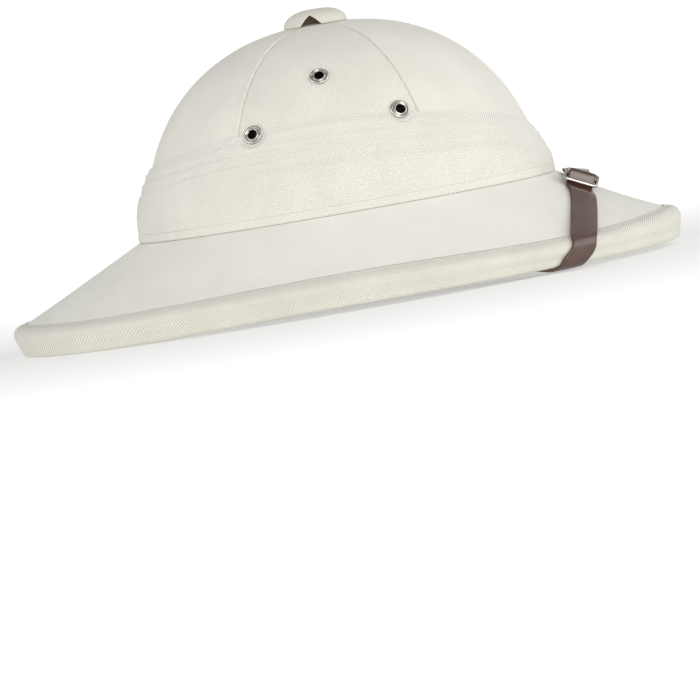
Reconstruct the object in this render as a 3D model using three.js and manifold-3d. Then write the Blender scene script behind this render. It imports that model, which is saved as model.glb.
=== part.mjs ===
// A white cloth-covered pith helmet with a folded puggaree, six nickel eyelets, a small vent cap
// and a leather chin strap worn up over the front of the brim. Millimetres, +Z up, +X is the front.
import * as THREE from 'three';
import * as BufferGeometryUtils from 'three/addons/utils/BufferGeometryUtils.js';
import Module from 'manifold-3d';

const wasm = await Module();
wasm.setup();

// ---------------------------------------------------------------- driving dimensions (mm, degrees)

const GAP = 0.3;                    // clearance between neighbouring pieces
const STATIONS = 56;                // sections round each ring-shaped piece

const JUNCTION_HEIGHT = 48.5;       // height of the crown's foot over the floor

const CROWN_HALF_LENGTH = 105.5;
const CROWN_HALF_WIDTH = 93;
const CROWN_RISE = 98.5;            // foot to apex
const CROWN_FULLNESS = 2.3;         // 2 is an ellipse seen from the side, more is fuller
const CROWN_WALL = 6;
const VENT_HOLE_RADIUS = 8;

const RIM_FRONT_REACH = 173.6;      // crown centre to the front tip of the brim
const RIM_REAR_REACH = 187.2;
const RIM_HALF_WIDTH = 147;
const BRIM_ROOT_THICKNESS = 7;
const RIM_LIFT = 2.9;               // sides and front stand this much over the rear of the rim
const REAR_FLAT_HALF_ANGLE = 38;    // the rear part of the rim that lies flat

const BINDING_THICKNESS = 1.2;
const SLOPE_SHARE = 1.12;           // a step across the brim's slope is this much longer upright
const SIDE_BEND_SHARE = 0.3;        // the edge's side bends in a little at this share of its height
const BINDING_FLANGE = 8.5;         // width of the binding's strip on the top and under the brim

const FOOT_ROLL_HEIGHT = 4.2;
const FOOT_ROLL_OUT = 6.6;          // how far the roll stands out from the bare crown

const CAP_RADIUS = 16.8;
const CAP_RISE = 7.9;               // over the crown's apex
const CAP_WALL = 1.6;
const CAP_MOUTH_WIDTH = 11.5;
const CAP_MOUTH_RISE = 5.2;
const CAP_MOUTH_BEHIND = 1.8;

const EYELET_REACH = 38.4;          // front and rear eyelets from the middle of the side
const EYELET_LOW = 47.2;            // height of the front and rear eyelets over the crown's foot
const EYELET_HIGH = 70.9;
const EYELET_FLANGE_RADIUS = 5.2;
const EYELET_BARREL_RADIUS = 3.0;
const EYELET_BORE_RADIUS = 2.4;

const STRAP_WIDTH = 14;
const STRAP_THICKNESS = 1.7;
const STRAP_CROSSING_TURN = -44.5;  // where the strap goes over the edge of the brim
const STRAP_CROSSING_SLANT = 38;    // how far it leans to the rear there
const STRAP_END_TURN = -80.5;       // where its end is riveted inside the crown
const STRAP_END_HEIGHT = 10;        // height of the rivet over the crown's foot
const RIVET_SHANK_RADIUS = 1.5;
const RIVET_HEAD_RADIUS = 4;
const RIVET_DEPTH = 4;              // how far the shank goes into the crown's wall

const SLIDE_MIDDLE = [124.8, -33.5, 43.6];
const SLIDE_TILT = 27;              // the bar nearest the edge of the brim is the low one
const SLIDE_FALL = 26;              // it lies along the slope of the brim's front
const SLIDE_SPAN = 18.6;            // across the strap
const SLIDE_LENGTH = 13;            // along the strap
const SLIDE_BAR = 2;

// Heights over the crown's foot of the puggaree's four upper edges, by the turn from the front.
const PUGGAREE_EDGES = [
    { turn: 0, top: 27.7, mid: 24.4, low: 20.8, band: 16.5 },
    { turn: 30, top: 37.0, mid: 32.0, low: 27.2, band: 22.3 },
    { turn: 60, top: 44.6, mid: 39.2, low: 33.4, band: 28.0 },
    { turn: 90, top: 50.0, mid: 43.3, low: 37.0, band: 31.5 },
    { turn: 120, top: 47.4, mid: 42.6, low: 36.6, band: 31.2 },
    { turn: 150, top: 40.4, mid: 37.2, low: 32.2, band: 26.8 },
    { turn: 180, top: 37.5, mid: 34.3, low: 29.2, band: 23.1 },
];

// Outline of the brim's section by the turn from the front: the height over the floor of the top
// corner of the edge, how far its lower corner lies inside the upper one, and how far the top of
// the brim sags under a straight line.
const RIM_SECTIONS = [
    { turn: 0, corner: 18.2, undercut: 3.0, hollow: 1.6 },
    { turn: 45, corner: 13.0, undercut: 3.6, hollow: 1.0 },
    { turn: 90, corner: 15.0, undercut: 4.6, hollow: 0.5 },
    { turn: 135, corner: 13.0, undercut: 5.0, hollow: 0.3 },
    { turn: 180, corner: 14.2, undercut: 5.1, hollow: 0.2 },
];

// The strap's run over the top of the brim, chosen by hand from the middle of the front outwards:
// the strap's centre (x, y, z over the floor) and the fall of its width towards the front.
const STRAP_MIDDLE = { x: 122.2, y: 0, z: 47.3, fall: 0.18 };
const STRAP_BESIDE_SLIDE = { x: 122.8, y: -16, z: 46.3, fall: 0.30 };
const STRAP_BESIDE_CROWN = [
    { x: 122.6, y: -14, z: 44.6, fall: 0.34 },
    { x: 123.8, y: -34, z: 39.5, fall: 0.52 },
];
const STRAP_DOWN_BRIM = [
    { x: 124.2, y: -48, z: 36.0, fall: 0.54 },
    { x: 124.0, y: -60, z: 31.3, fall: 0.50 },
    { x: 122.8, y: -80, z: 24.2, fall: 0.45 },
];

// The strap's run under the brim to the inside of the crown, chosen by hand: its centre and the
// direction of its width.
const STRAP_UNDER = [
    { x: 84, y: -101, z: 6.8, wx: 0.24, wy: 0.95, wz: 0.05 },
    { x: 62, y: -95.7, z: 17.8, wx: 0.32, wy: 0.80, wz: 0.40 },
    { x: 40, y: -86.5, z: 28.6, wx: 0.42, wy: 0.45, wz: 0.75 },
    { x: 26, y: -80.0, z: 39.0, wx: 0.55, wy: 0.10, wz: 0.80 },
];

// ---------------------------------------------------------------- small helpers

const radians = THREE.MathUtils.degToRad;

// The turn in degrees of one station, from the front towards the left.
const stationTurn = (station) => (360 * station) / STATIONS;

// One column of a table that has evenly spaced turns from 0 to 180, read smoothly at any turn.
function tableAt(rows, column, turn) {
    const step = rows[1].turn - rows[0].turn;
    const last = rows.length - 1;
    const folded = Math.abs(((turn + 180) % 360 + 360) % 360 - 180);
    const row = Math.min(Math.floor(folded / step), last - 1);
    const part = folded / step - row;
    const at = (index) => rows[last - Math.abs(last - Math.abs(index))][column];
    const [a, b, c, d] = [at(row - 1), at(row), at(row + 1), at(row + 2)];
    const bend = 2 * a - 5 * b + 4 * c - d + part * (3 * (b - c) + d - a);
    return b + 0.5 * part * (c - a + part * bend);
}

// A closed shell from rings of points. Each ring goes once round, and the last ring joins the first.
function ringShell(rings) {
    const count = rings[0].length;
    const positions = rings.flat().flatMap((point) => point.toArray());
    const indices = [];
    rings.forEach((ring, row) => {
        const next = (row + 1) % rings.length;
        for (let i = 0; i < count; i += 1) {
            const j = (i + 1) % count;
            const [a, b] = [row * count + i, row * count + j];
            const [c, d] = [next * count + i, next * count + j];
            indices.push(a, b, c, b, d, c);
        }
    });
    return outwardGeometry(positions, indices);
}

// A bar swept through a list of sections of equal count, closed by a fan at each end.
function sweptBar(sections) {
    const count = sections[0].length;
    const positions = sections.flat().flatMap((point) => point.toArray());
    const indices = [];
    for (let row = 0; row + 1 < sections.length; row += 1) {
        for (let i = 0; i < count; i += 1) {
            const j = (i + 1) % count;
            const [a, b] = [row * count + i, row * count + j];
            const [c, d] = [a + count, b + count];
            indices.push(a, b, c, b, d, c);
        }
    }
    const end = (sections.length - 1) * count;
    for (let i = 1; i + 1 < count; i += 1) {
        indices.push(0, i + 1, i);
        indices.push(end, end + i, end + i + 1);
    }
    return outwardGeometry(positions, indices);
}

// An indexed geometry whose triangles face outwards, whichever way they were listed.
function outwardGeometry(positions, indices) {
    const geometry = new THREE.BufferGeometry();
    geometry.setAttribute('position', new THREE.Float32BufferAttribute(positions, 3));
    if (signedVolume(positions, indices) < 0) {
        indices.reverse();
    }
    geometry.setIndex(indices);
    return geometry;
}

function signedVolume(positions, indices) {
    const corner = (index) => new THREE.Vector3().fromArray(positions, 3 * index);
    let volume = 0;
    for (let i = 0; i < indices.length; i += 3) {
        const [a, b, c] = [corner(indices[i]), corner(indices[i + 1]), corner(indices[i + 2])];
        volume += a.dot(b.cross(c)) / 6;
    }
    return volume;
}

// A three.js geometry as a solid that can be cut, and a cut solid as a geometry again.
function toSolid(geometry) {
    const bare = geometry.clone();
    bare.deleteAttribute('normal');
    bare.deleteAttribute('uv');
    const merged = BufferGeometryUtils.mergeVertices(bare, 1e-4);
    const vertProperties = new Float32Array(merged.attributes.position.array);
    const triVerts = new Uint32Array(merged.index.array);
    return new wasm.Manifold(new wasm.Mesh({ numProp: 3, vertProperties, triVerts }));
}

function toGeometry(solid) {
    const mesh = solid.getMesh();
    const geometry = new THREE.BufferGeometry();
    geometry.setAttribute('position', new THREE.BufferAttribute(mesh.vertProperties, 3));
    geometry.setIndex(new THREE.BufferAttribute(mesh.triVerts, 1));
    return geometry;
}

// A profile of [radius, height] pairs turned round the Z axis. It closes on itself, unless both of
// its ends are on the axis.
function turned(profile, segments) {
    const open = profile[0][0] === 0 && profile.at(-1)[0] === 0;
    const outline = open ? profile : [...profile, profile[0]];
    const points = outline.map(([radius, height]) => new THREE.Vector2(radius, height));
    const geometry = new THREE.LatheGeometry(points, segments);
    geometry.rotateX(Math.PI / 2);
    return geometry;
}

// ---------------------------------------------------------------- materials

const finish = (color, roughness, metalness) => new THREE.MeshStandardMaterial({ color, roughness, metalness });
const DRILL = finish('#e6e4da', 0.9, 0);
const BINDING_DRILL = finish('#d8d5c8', 0.9, 0);
const LEATHER = finish('#5f5048', 0.5, 0);
const NICKEL = finish('#b9b8b6', 0.25, 1);

function piece(name, geometry, material) {
    const mesh = new THREE.Mesh(geometry, material);
    mesh.name = name;
    return mesh;
}

// ---------------------------------------------------------------- crown

// Part of the half length left at a height over the foot: 1 at the foot, 0 at the apex.
const crownShare = (height) => (1 - (height / CROWN_RISE) ** 2) ** (1 / CROWN_FULLNESS);

// The direction straight out of the crown's surface.
function crownNormal(turn, height) {
    const angle = radians(turn);
    const share = crownShare(height);
    const fall = (-2 * height / CROWN_RISE ** 2) / CROWN_FULLNESS * share ** (1 - CROWN_FULLNESS);
    const around = new THREE.Vector3(-CROWN_HALF_LENGTH * Math.sin(angle), CROWN_HALF_WIDTH * Math.cos(angle), 0);
    const upward = new THREE.Vector3(
        CROWN_HALF_LENGTH * fall * Math.cos(angle),
        CROWN_HALF_WIDTH * fall * Math.sin(angle),
        1,
    );
    return around.cross(upward).normalize();
}

// A point at a distance straight out from the crown's surface.
function overCrown(turn, height, distance) {
    const angle = radians(turn);
    const share = crownShare(height);
    const point = new THREE.Vector3(
        CROWN_HALF_LENGTH * share * Math.cos(angle),
        CROWN_HALF_WIDTH * share * Math.sin(angle),
        JUNCTION_HEIGHT + height,
    );
    return point.addScaledVector(crownNormal(turn, height), distance);
}

const ringOf = (pointAt) => Array.from({ length: STATIONS }, (_, station) => pointAt(stationTurn(station)));

function crownRings(steps, distance) {
    const holeShare = VENT_HOLE_RADIUS / CROWN_HALF_LENGTH;
    const first = Math.asin(GAP / CROWN_RISE);
    const last = Math.acos(holeShare ** (CROWN_FULLNESS / 2));
    return Array.from({ length: steps + 1 }, (_, step) => {
        const height = CROWN_RISE * Math.sin(first + ((last - first) * step) / steps);
        return ringOf((turn) => overCrown(turn, height, distance));
    });
}

const CROWN_OUTER_STEPS = 11;
const CROWN_INNER_STEPS = 6;

// The crown's shell, whose outer face stands a distance out from the bare crown.
function crownShell(distance) {
    return ringShell([
        ...crownRings(CROWN_OUTER_STEPS, distance),
        ...crownRings(CROWN_INNER_STEPS, -CROWN_WALL).reverse(),
    ]);
}

// A round cutter with its middle on a place and its axis along the place's own Z.
function roundCutter(radius, length, place) {
    const cylinder = new THREE.CylinderGeometry(radius, radius, length, 16);
    cylinder.rotateX(Math.PI / 2);
    cylinder.applyMatrix4(place);
    return toSolid(cylinder);
}

const EYELET_DRILL_LENGTH = 30;

function crown() {
    const holes = EYELETS.map((spot) =>
        roundCutter(EYELET_BARREL_RADIUS + GAP, EYELET_DRILL_LENGTH, eyeletPlace(spot)));
    const cutters = [...holes, ...SIDES.map(rivetHole)];
    const solid = cutters.reduce((cut, cutter) => cut.subtract(cutter), toSolid(crownShell(0)));
    return piece('crown', toGeometry(solid), DRILL);
}

// ---------------------------------------------------------------- brim and its binding

// Height of the rim's underside over the floor: none along the flat rear, RIM_LIFT from the sides on.
function rimFloor(turn) {
    const fromRear = Math.abs(Math.abs(((turn + 180) % 360 + 360) % 360 - 180) - 180);
    return RIM_LIFT * THREE.MathUtils.smoothstep(fromRear, REAR_FLAT_HALF_ANGLE, 90);
}

const RIM_MIDDLE = (RIM_FRONT_REACH - RIM_REAR_REACH) / 2;
const RIM_HALF_LENGTH = (RIM_FRONT_REACH + RIM_REAR_REACH) / 2;

// The vertical plane of the brim's section at a turn: its foot, its outward direction and its run.
function rimPlane(turn) {
    const angle = radians(turn);
    const foot = new THREE.Vector3(
        (CROWN_HALF_LENGTH + FOOT_ROLL_OUT) * Math.cos(angle),
        (CROWN_HALF_WIDTH + FOOT_ROLL_OUT) * Math.sin(angle),
        0,
    );
    const tip = new THREE.Vector3(
        RIM_MIDDLE + RIM_HALF_LENGTH * Math.cos(angle),
        RIM_HALF_WIDTH * Math.sin(angle),
        0,
    );
    const out = tip.clone().sub(foot);
    const run = out.length();
    return { foot, out: out.normalize(), run };
}

function inPlane(plane, along, height) {
    return plane.foot.clone().addScaledVector(plane.out, along).setZ(height);
}

// The lines of the brim's section in that plane. The binding's outer faces stand clear of the
// brim's own by its thickness and a gap.
const BINDING_STAND = SLOPE_SHARE * (BINDING_THICKNESS + GAP);
const BINDING_SKIN = SLOPE_SHARE * BINDING_THICKNESS;
const FOOT_FLAT = 3.2;              // width of the flat strip on which the rim rests
const EDGE_ROUND = 1.5;

function edgeOf(turn) {
    const plane = rimPlane(turn);
    const floor = rimFloor(turn);
    const corner = tableAt(RIM_SECTIONS, 'corner', turn);
    const lower = plane.run - tableAt(RIM_SECTIONS, 'undercut', turn);
    return { plane, floor, corner, lower, flat: lower - EDGE_ROUND - FOOT_FLAT };
}

// Height of the brim's own top surface at a distance out from the crown's foot.
function brimTop(edge, turn, along) {
    const part = along / edge.plane.run;
    const hollow = tableAt(RIM_SECTIONS, 'hollow', turn);
    const chord = JUNCTION_HEIGHT + (edge.corner - BINDING_STAND - JUNCTION_HEIGHT) * part;
    return chord - hollow * 4 * part * (1 - part);
}

// The point on the crown's inner wall where the brim ends, at a height over the floor.
function brimRoot(turn, height) {
    const angle = radians(turn);
    return new THREE.Vector3(
        (CROWN_HALF_LENGTH - CROWN_WALL) * Math.cos(angle),
        (CROWN_HALF_WIDTH - CROWN_WALL) * Math.sin(angle),
        height,
    );
}

// A point on the brim's underside: part 0 is at the rim's flat strip and 1 at the crown's wall.
function brimUnder(edge, turn, part) {
    const outer = inPlane(edge.plane, edge.flat, edge.floor + BINDING_STAND);
    return outer.lerp(brimRoot(turn, JUNCTION_HEIGHT - BRIM_ROOT_THICKNESS), part);
}

function brimSection(turn) {
    const edge = edgeOf(turn);
    const end = edge.plane.run - BINDING_STAND;
    const top = [0, 0.33, 0.67, 1].map((part) =>
        inPlane(edge.plane, part * end, brimTop(edge, turn, part * end)));
    const lowEnd = inPlane(edge.plane, edge.lower - BINDING_STAND, edge.floor + BINDING_STAND);
    const under = [0, 0.5, 1].map((part) => brimUnder(edge, turn, part));
    return [brimRoot(turn, JUNCTION_HEIGHT), ...top, lowEnd, ...under];
}

// Rings through the same point of every section.
function ringsThrough(sectionAt) {
    const sections = ringOf(sectionAt);
    return sections[0].map((_, place) => sections.map((section) => section[place]));
}

function brim() {
    return piece('brim', ringShell(ringsThrough(brimSection)), DRILL);
}

// The outline of the bound edge from the top flange round to the flange underneath.
function bindingOutline(turn) {
    const edge = edgeOf(turn);
    const { plane, floor, corner, lower, flat } = edge;
    const top = (along) => inPlane(plane, along, brimTop(edge, turn, along) + BINDING_STAND);
    const reach = (flat + plane.foot.length()) - brimRoot(turn, 0).length();
    const under = brimUnder(edge, turn, BINDING_FLANGE / reach);
    under.z -= BINDING_STAND;
    return [
        top(plane.run - BINDING_FLANGE),
        top(plane.run - EDGE_ROUND),
        inPlane(plane, plane.run, corner - EDGE_ROUND),
        inPlane(plane, lower + SIDE_BEND_SHARE * (plane.run - lower), floor + SIDE_BEND_SHARE * corner),
        inPlane(plane, lower, floor + EDGE_ROUND),
        inPlane(plane, lower - EDGE_ROUND, floor),
        inPlane(plane, flat, floor),
        under,
    ];
}

function bindingSection(turn) {
    const edge = edgeOf(turn);
    const { plane, floor, lower } = edge;
    const outline = bindingOutline(turn);
    const inner = (point) => point.clone().setZ(point.z + BINDING_SKIN);
    const topInner = (along) => inPlane(plane, along, brimTop(edge, turn, along) + BINDING_STAND - BINDING_SKIN);
    return [
        ...outline,
        inner(outline[7]),
        inner(outline[6]),
        inPlane(plane, lower - BINDING_SKIN, floor + BINDING_SKIN),
        topInner(plane.run - BINDING_SKIN),
        topInner(plane.run - BINDING_FLANGE),
    ];
}

function brimBinding() {
    return piece('brim_binding', ringShell(ringsThrough(bindingSection)), BINDING_DRILL);
}

// ---------------------------------------------------------------- puggaree

const FOLD_TUCK = 2.5;              // how far each fold goes down behind the next one
const FOLD_CLEAR = 0.9;             // the folds' inner faces from the crown, which bulges between rings

// How far each fold's outer face stands out from the bare crown, at its upper edge and where it
// goes behind the next fold, and how far out the tail behind it reaches.
const FOLDS = [
    { name: 'puggaree_fold_top', upper: 'top', next: 'mid', behind: 0, edge: 1.3, tail: 1.5 },
    { name: 'puggaree_fold_mid', upper: 'mid', next: 'low', behind: 1.5, edge: 2.5, tail: 2.7 },
    { name: 'puggaree_fold_low', upper: 'low', next: 'band', behind: 2.7, edge: 3.7, tail: 3.9 },
];
const FOLDS_AT_EYELETS = ['puggaree_fold_top', 'puggaree_fold_mid'];
const BAND_BEHIND = 3.9;            // the band's upper edge covers the tail of the lowest fold

// The band's outer face: how far it stands out from the bare crown at shares of its height.
const BAND_FACE = [
    { share: 1, out: 4.9 },
    { share: 0.75, out: 5.7 },
    { share: 0.45, out: 6.3 },
    { share: 0.2, out: 6.3 },
    { share: 0, out: 5.7 },
];

// A fold covers the tail of the one above it, if there is one, then lies against the crown.
function foldSection(fold, turn) {
    const upper = tableAt(PUGGAREE_EDGES, fold.upper, turn);
    const tail = tableAt(PUGGAREE_EDGES, fold.next, turn) - FOLD_TUCK;
    const clear = fold.behind + GAP;
    const section = [
        overCrown(turn, upper, clear),
        overCrown(turn, upper, fold.edge),
        overCrown(turn, 0.5 * (upper + tail), 0.5 * (fold.edge + fold.tail)),
        overCrown(turn, tail, fold.tail),
        overCrown(turn, tail, FOLD_CLEAR),
    ];
    if (fold.behind > 0) {
        const shoulder = upper - FOLD_TUCK - GAP;
        section.push(overCrown(turn, shoulder, FOLD_CLEAR), overCrown(turn, shoulder, clear));
    }
    return section;
}

const FLANGE_CUTTER_LENGTH = 12;

// The two upper folds are cut away round the eyelets that stand on their edges.
function puggareeFolds() {
    const lowEyelets = EYELETS.filter(({ height }) => height === EYELET_LOW);
    return FOLDS.map((fold) => {
        let solid = toSolid(ringShell(ringsThrough((turn) => foldSection(fold, turn))));
        for (const spot of FOLDS_AT_EYELETS.includes(fold.name) ? lowEyelets : []) {
            const place = eyeletPlace(spot);
            solid = solid.subtract(roundCutter(EYELET_FLANGE_RADIUS + GAP, FLANGE_CUTTER_LENGTH, place));
        }
        return piece(fold.name, toGeometry(solid), DRILL);
    });
}

function bandSection(turn) {
    const upper = tableAt(PUGGAREE_EDGES, 'band', turn);
    const foot = FOOT_ROLL_HEIGHT + 2 * GAP;
    const shoulder = upper - FOLD_TUCK - GAP;
    return [
        overCrown(turn, upper, BAND_BEHIND + GAP),
        ...BAND_FACE.map(({ share, out }) => overCrown(turn, foot + (upper - foot) * share, out)),
        overCrown(turn, foot, FOLD_CLEAR),
        overCrown(turn, 0.5 * (foot + upper), FOLD_CLEAR),
        overCrown(turn, shoulder, FOLD_CLEAR),
        overCrown(turn, shoulder, BAND_BEHIND + GAP),
    ];
}

const FOOT_ROLL_SOFTENING = 0.8;    // how far its two outer corners are drawn in

function footRollSection(turn) {
    const top = FOOT_ROLL_HEIGHT + GAP;
    return [
        overCrown(turn, GAP, GAP),
        overCrown(turn, GAP, FOOT_ROLL_OUT - FOOT_ROLL_SOFTENING),
        overCrown(turn, GAP + FOOT_ROLL_SOFTENING, FOOT_ROLL_OUT),
        overCrown(turn, top - FOOT_ROLL_SOFTENING, FOOT_ROLL_OUT),
        overCrown(turn, top, FOOT_ROLL_OUT - FOOT_ROLL_SOFTENING),
        overCrown(turn, top, GAP),
    ];
}

function puggareeBand() {
    return piece('puggaree_band', ringShell(ringsThrough(bandSection)), DRILL);
}

function puggareeFootRoll() {
    return piece('puggaree_foot_roll', ringShell(ringsThrough(footRollSection)), DRILL);
}

// ---------------------------------------------------------------- vent cap

const CAP_FULLNESS = 2.6;           // 2 is an ellipse, more is flatter on top
const CAP_STEPS = [1, 0.97, 0.9, 0.78, 0.6, 0.38, 0];    // shares of the radius, from the foot to the top
const CAP_SKIRT = 3;                // how far the uncut shell reaches down before it is fitted to the crown
const MOUTH_SILL = 0.6;             // the mouths start this far under the crown's apex
const MOUTH_DEPTH = 4;

// The cap is a thin dome, fitted to the crown under it, with a pointed mouth on the right side.
function ventCap() {
    const apex = JUNCTION_HEIGHT + CROWN_RISE;
    const dome = (radius, rise) => CAP_STEPS.map((share) =>
        [radius * share, apex + rise * (1 - share ** CAP_FULLNESS) ** 0.5]);
    const outer = dome(CAP_RADIUS, CAP_RISE);
    const inner = dome(CAP_RADIUS - CAP_WALL, CAP_RISE - CAP_WALL).reverse();
    const skirt = apex - CAP_SKIRT;
    const shell = turned([[CAP_RADIUS, skirt], ...outer, ...inner, [CAP_RADIUS - CAP_WALL, skirt]], 28);
    const mouth = new THREE.Shape([
        new THREE.Vector2(-CAP_MOUTH_WIDTH / 2, -MOUTH_DEPTH),
        new THREE.Vector2(CAP_MOUTH_WIDTH / 2, -MOUTH_DEPTH),
        new THREE.Vector2(CAP_MOUTH_WIDTH / 2, 0),
        new THREE.Vector2(0, CAP_MOUTH_RISE),
        new THREE.Vector2(-CAP_MOUTH_WIDTH / 2, 0),
    ]);
    const tunnel = new THREE.ExtrudeGeometry(mouth, { depth: 2 * CAP_RADIUS, bevelEnabled: false });
    tunnel.rotateX(Math.PI / 2);
    tunnel.translate(-CAP_MOUTH_BEHIND, 0, apex - MOUTH_SILL);
    const solid = toSolid(shell).subtract(toSolid(crownShell(GAP))).subtract(toSolid(tunnel));
    return piece('vent_cap', toGeometry(solid), DRILL);
}

// ---------------------------------------------------------------- eyelets

const SIDES = ['right', 'left'];

const EYELETS = SIDES.flatMap((side) => [
    { name: `eyelet_${side}_rear`, side, reach: -EYELET_REACH, height: EYELET_LOW },
    { name: `eyelet_${side}_top`, side, reach: 0, height: EYELET_HIGH },
    { name: `eyelet_${side}_front`, side, reach: EYELET_REACH, height: EYELET_LOW },
]);

// Stands an object made round the Z axis straight on the crown, at a turn and a height over its
// foot, a distance out from the surface.
function crownPlace(turn, height, distance, inward = false) {
    const axis = crownNormal(turn, height).multiplyScalar(inward ? -1 : 1);
    const spin = new THREE.Quaternion().setFromUnitVectors(new THREE.Vector3(0, 0, 1), axis);
    return new THREE.Matrix4().compose(overCrown(turn, height, distance), spin, new THREE.Vector3(1, 1, 1));
}

function eyeletPlace({ side, reach, height }) {
    const turn = THREE.MathUtils.radToDeg(Math.acos(reach / (CROWN_HALF_LENGTH * crownShare(height))));
    return crownPlace(side === 'left' ? turn : -turn, height, 0);
}

const CLINCH_CLEAR = 1.1;           // the clinched lip stands clear of the crown's faceted inner wall
const CLINCH_WIDTH = 1.2;
const CLINCH_THICKNESS = 0.7;

function eyelet(place) {
    const inside = -CROWN_WALL - CLINCH_CLEAR;
    const clinchRadius = EYELET_BARREL_RADIUS + CLINCH_WIDTH;
    const geometry = turned([
        [clinchRadius, inside - CLINCH_THICKNESS],
        [clinchRadius, inside],
        [EYELET_BARREL_RADIUS, inside],
        [EYELET_BARREL_RADIUS, GAP],
        [EYELET_FLANGE_RADIUS, GAP],
        [EYELET_FLANGE_RADIUS, 0.9],
        [EYELET_FLANGE_RADIUS - 0.5, 1.6],
        [EYELET_BORE_RADIUS + 1.4, 1.9],
        [EYELET_BORE_RADIUS + 0.5, 1.7],
        [EYELET_BORE_RADIUS, 1.0],
        [EYELET_BORE_RADIUS, inside - CLINCH_THICKNESS],
    ], 16);
    const mesh = piece(place.name, geometry, NICKEL);
    mesh.applyMatrix4(eyeletPlace(place));
    return mesh;
}

// ---------------------------------------------------------------- chin strap

const STRAP_CLEAR = GAP + STRAP_THICKNESS / 2;
const STRAP_EDGE_CLEAR = STRAP_CLEAR + 0.4;    // the rim curves a little within the strap's width
const STRAP_WALL_CLEAR = STRAP_CLEAR + 0.9;    // so does the crown's inner wall

// Rows of the strap's centre and of the straight line across it, from where the brim's top meets the
// bound edge: it keeps its slant to the edge all the way round, as a flat strap does.
function strapRoundEdge() {
    const start = bindingOutline(STRAP_CROSSING_TURN);
    const slant = Math.tan(radians(STRAP_CROSSING_SLANT));
    const rimPerRadian = Math.hypot(RIM_HALF_LENGTH, RIM_HALF_WIDTH) / Math.SQRT2;
    const rows = [];
    let wrapped = -0.5 * start[2].distanceTo(start[1]) - start[1].distanceTo(start[0]);
    start.forEach((corner, place) => {
        const turn = STRAP_CROSSING_TURN - THREE.MathUtils.radToDeg(slant * wrapped / rimPerRadian);
        const outline = bindingOutline(turn);
        const rearward = rimTangent(turn);
        const direction = (first) => outline[first + 1].clone().sub(outline[first]).normalize();
        const outward = (along) => rearward.clone().cross(along).normalize();
        const before = outward(direction(Math.max(place - 1, 0)));
        const after = outward(direction(Math.min(place, outline.length - 2)));
        const mean = before.clone().add(after).normalize();
        const lift = STRAP_EDGE_CLEAR / mean.dot(after);
        const centre = outline[place].clone().addScaledVector(mean, lift);
        rows.push({ centre, across: rearward.negate() });
        if (place + 1 < start.length) {
            wrapped += start[place + 1].distanceTo(corner);
        }
    });
    return rows.slice(1);
}

// The rim's direction towards the rear, on the right side.
function rimTangent(turn) {
    const angle = radians(turn);
    return new THREE.Vector3(RIM_HALF_LENGTH * Math.sin(angle), -RIM_HALF_WIDTH * Math.cos(angle), 0).normalize();
}

// The slide's own directions: across the strap, along it towards the edge, and out of the brim.
function slideFrame() {
    const fall = radians(SLIDE_FALL);
    const tilt = radians(SLIDE_TILT);
    const across = new THREE.Vector3(Math.cos(fall), 0, -Math.sin(fall));
    const along = new THREE.Vector3(0, -Math.cos(tilt), -Math.sin(tilt));
    along.addScaledVector(across, -along.dot(across)).normalize();
    const out = along.clone().cross(across).normalize();
    return { middle: new THREE.Vector3(...SLIDE_MIDDLE), across, along, out };
}

const BAR_SPACING = (SLIDE_LENGTH - SLIDE_BAR) / 2;
const WEAVE = SLIDE_BAR / 2 + STRAP_CLEAR + 0.2;   // how far the strap's middle goes over or under a bar

// The strap goes under the two outer bars of the slide and stands up in a hump over its middle bar.
function strapThroughSlide() {
    const { middle, across, along, out } = slideFrame();
    const rows = [
        { run: -BAR_SPACING, rise: -WEAVE },
        { run: -0.5 * BAR_SPACING, rise: 0.2 },
        { run: 0, rise: 1.4 * WEAVE },
        { run: 0.5 * BAR_SPACING, rise: 0.2 },
        { run: BAR_SPACING, rise: -WEAVE },
    ];
    return rows.map(({ run, rise }) => ({
        centre: middle.clone().addScaledVector(along, run).addScaledVector(out, rise),
        across: across.clone(),
    }));
}

function strapInsideCrown() {
    const spots = [
        { turn: STRAP_END_TURN + 1.2, height: 4, lean: 0.35 },
        { turn: STRAP_END_TURN, height: STRAP_END_HEIGHT, lean: 0.1 },
        { turn: STRAP_END_TURN - 0.3, height: STRAP_END_HEIGHT + 6, lean: 0 },
    ];
    return spots.map(({ turn, height, lean }) => ({
        centre: overCrown(turn, height, -CROWN_WALL - STRAP_WALL_CLEAR),
        across: new THREE.Vector3(0, 0, 1).cross(crownNormal(turn, height)).setZ(lean).normalize(),
    }));
}

const overRow = ({ x, y, z, fall }) => ({
    centre: new THREE.Vector3(x, y, z),
    across: new THREE.Vector3(1, 0, -fall).normalize(),
});

const underRow = ({ x, y, z, wx, wy, wz }) => ({
    centre: new THREE.Vector3(x, y, z),
    across: new THREE.Vector3(wx, wy, wz).normalize(),
});

const mirrored = ({ centre, across }) => ({
    centre: centre.clone().setY(-centre.y),
    across: across.clone().setY(-across.y),
});

// Every row of the strap from the left rivet over the brim to the right rivet.
function strapRows() {
    const down = [...STRAP_DOWN_BRIM.map(overRow), ...strapRoundEdge()];
    const side = [...down, ...STRAP_UNDER.map(underRow), ...strapInsideCrown()];
    const right = [overRow(STRAP_MIDDLE), overRow(STRAP_BESIDE_SLIDE), ...strapThroughSlide(), ...side];
    const left = [...STRAP_BESIDE_CROWN.map(overRow), ...side].map(mirrored);
    return [...left.reverse(), ...right];
}

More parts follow.
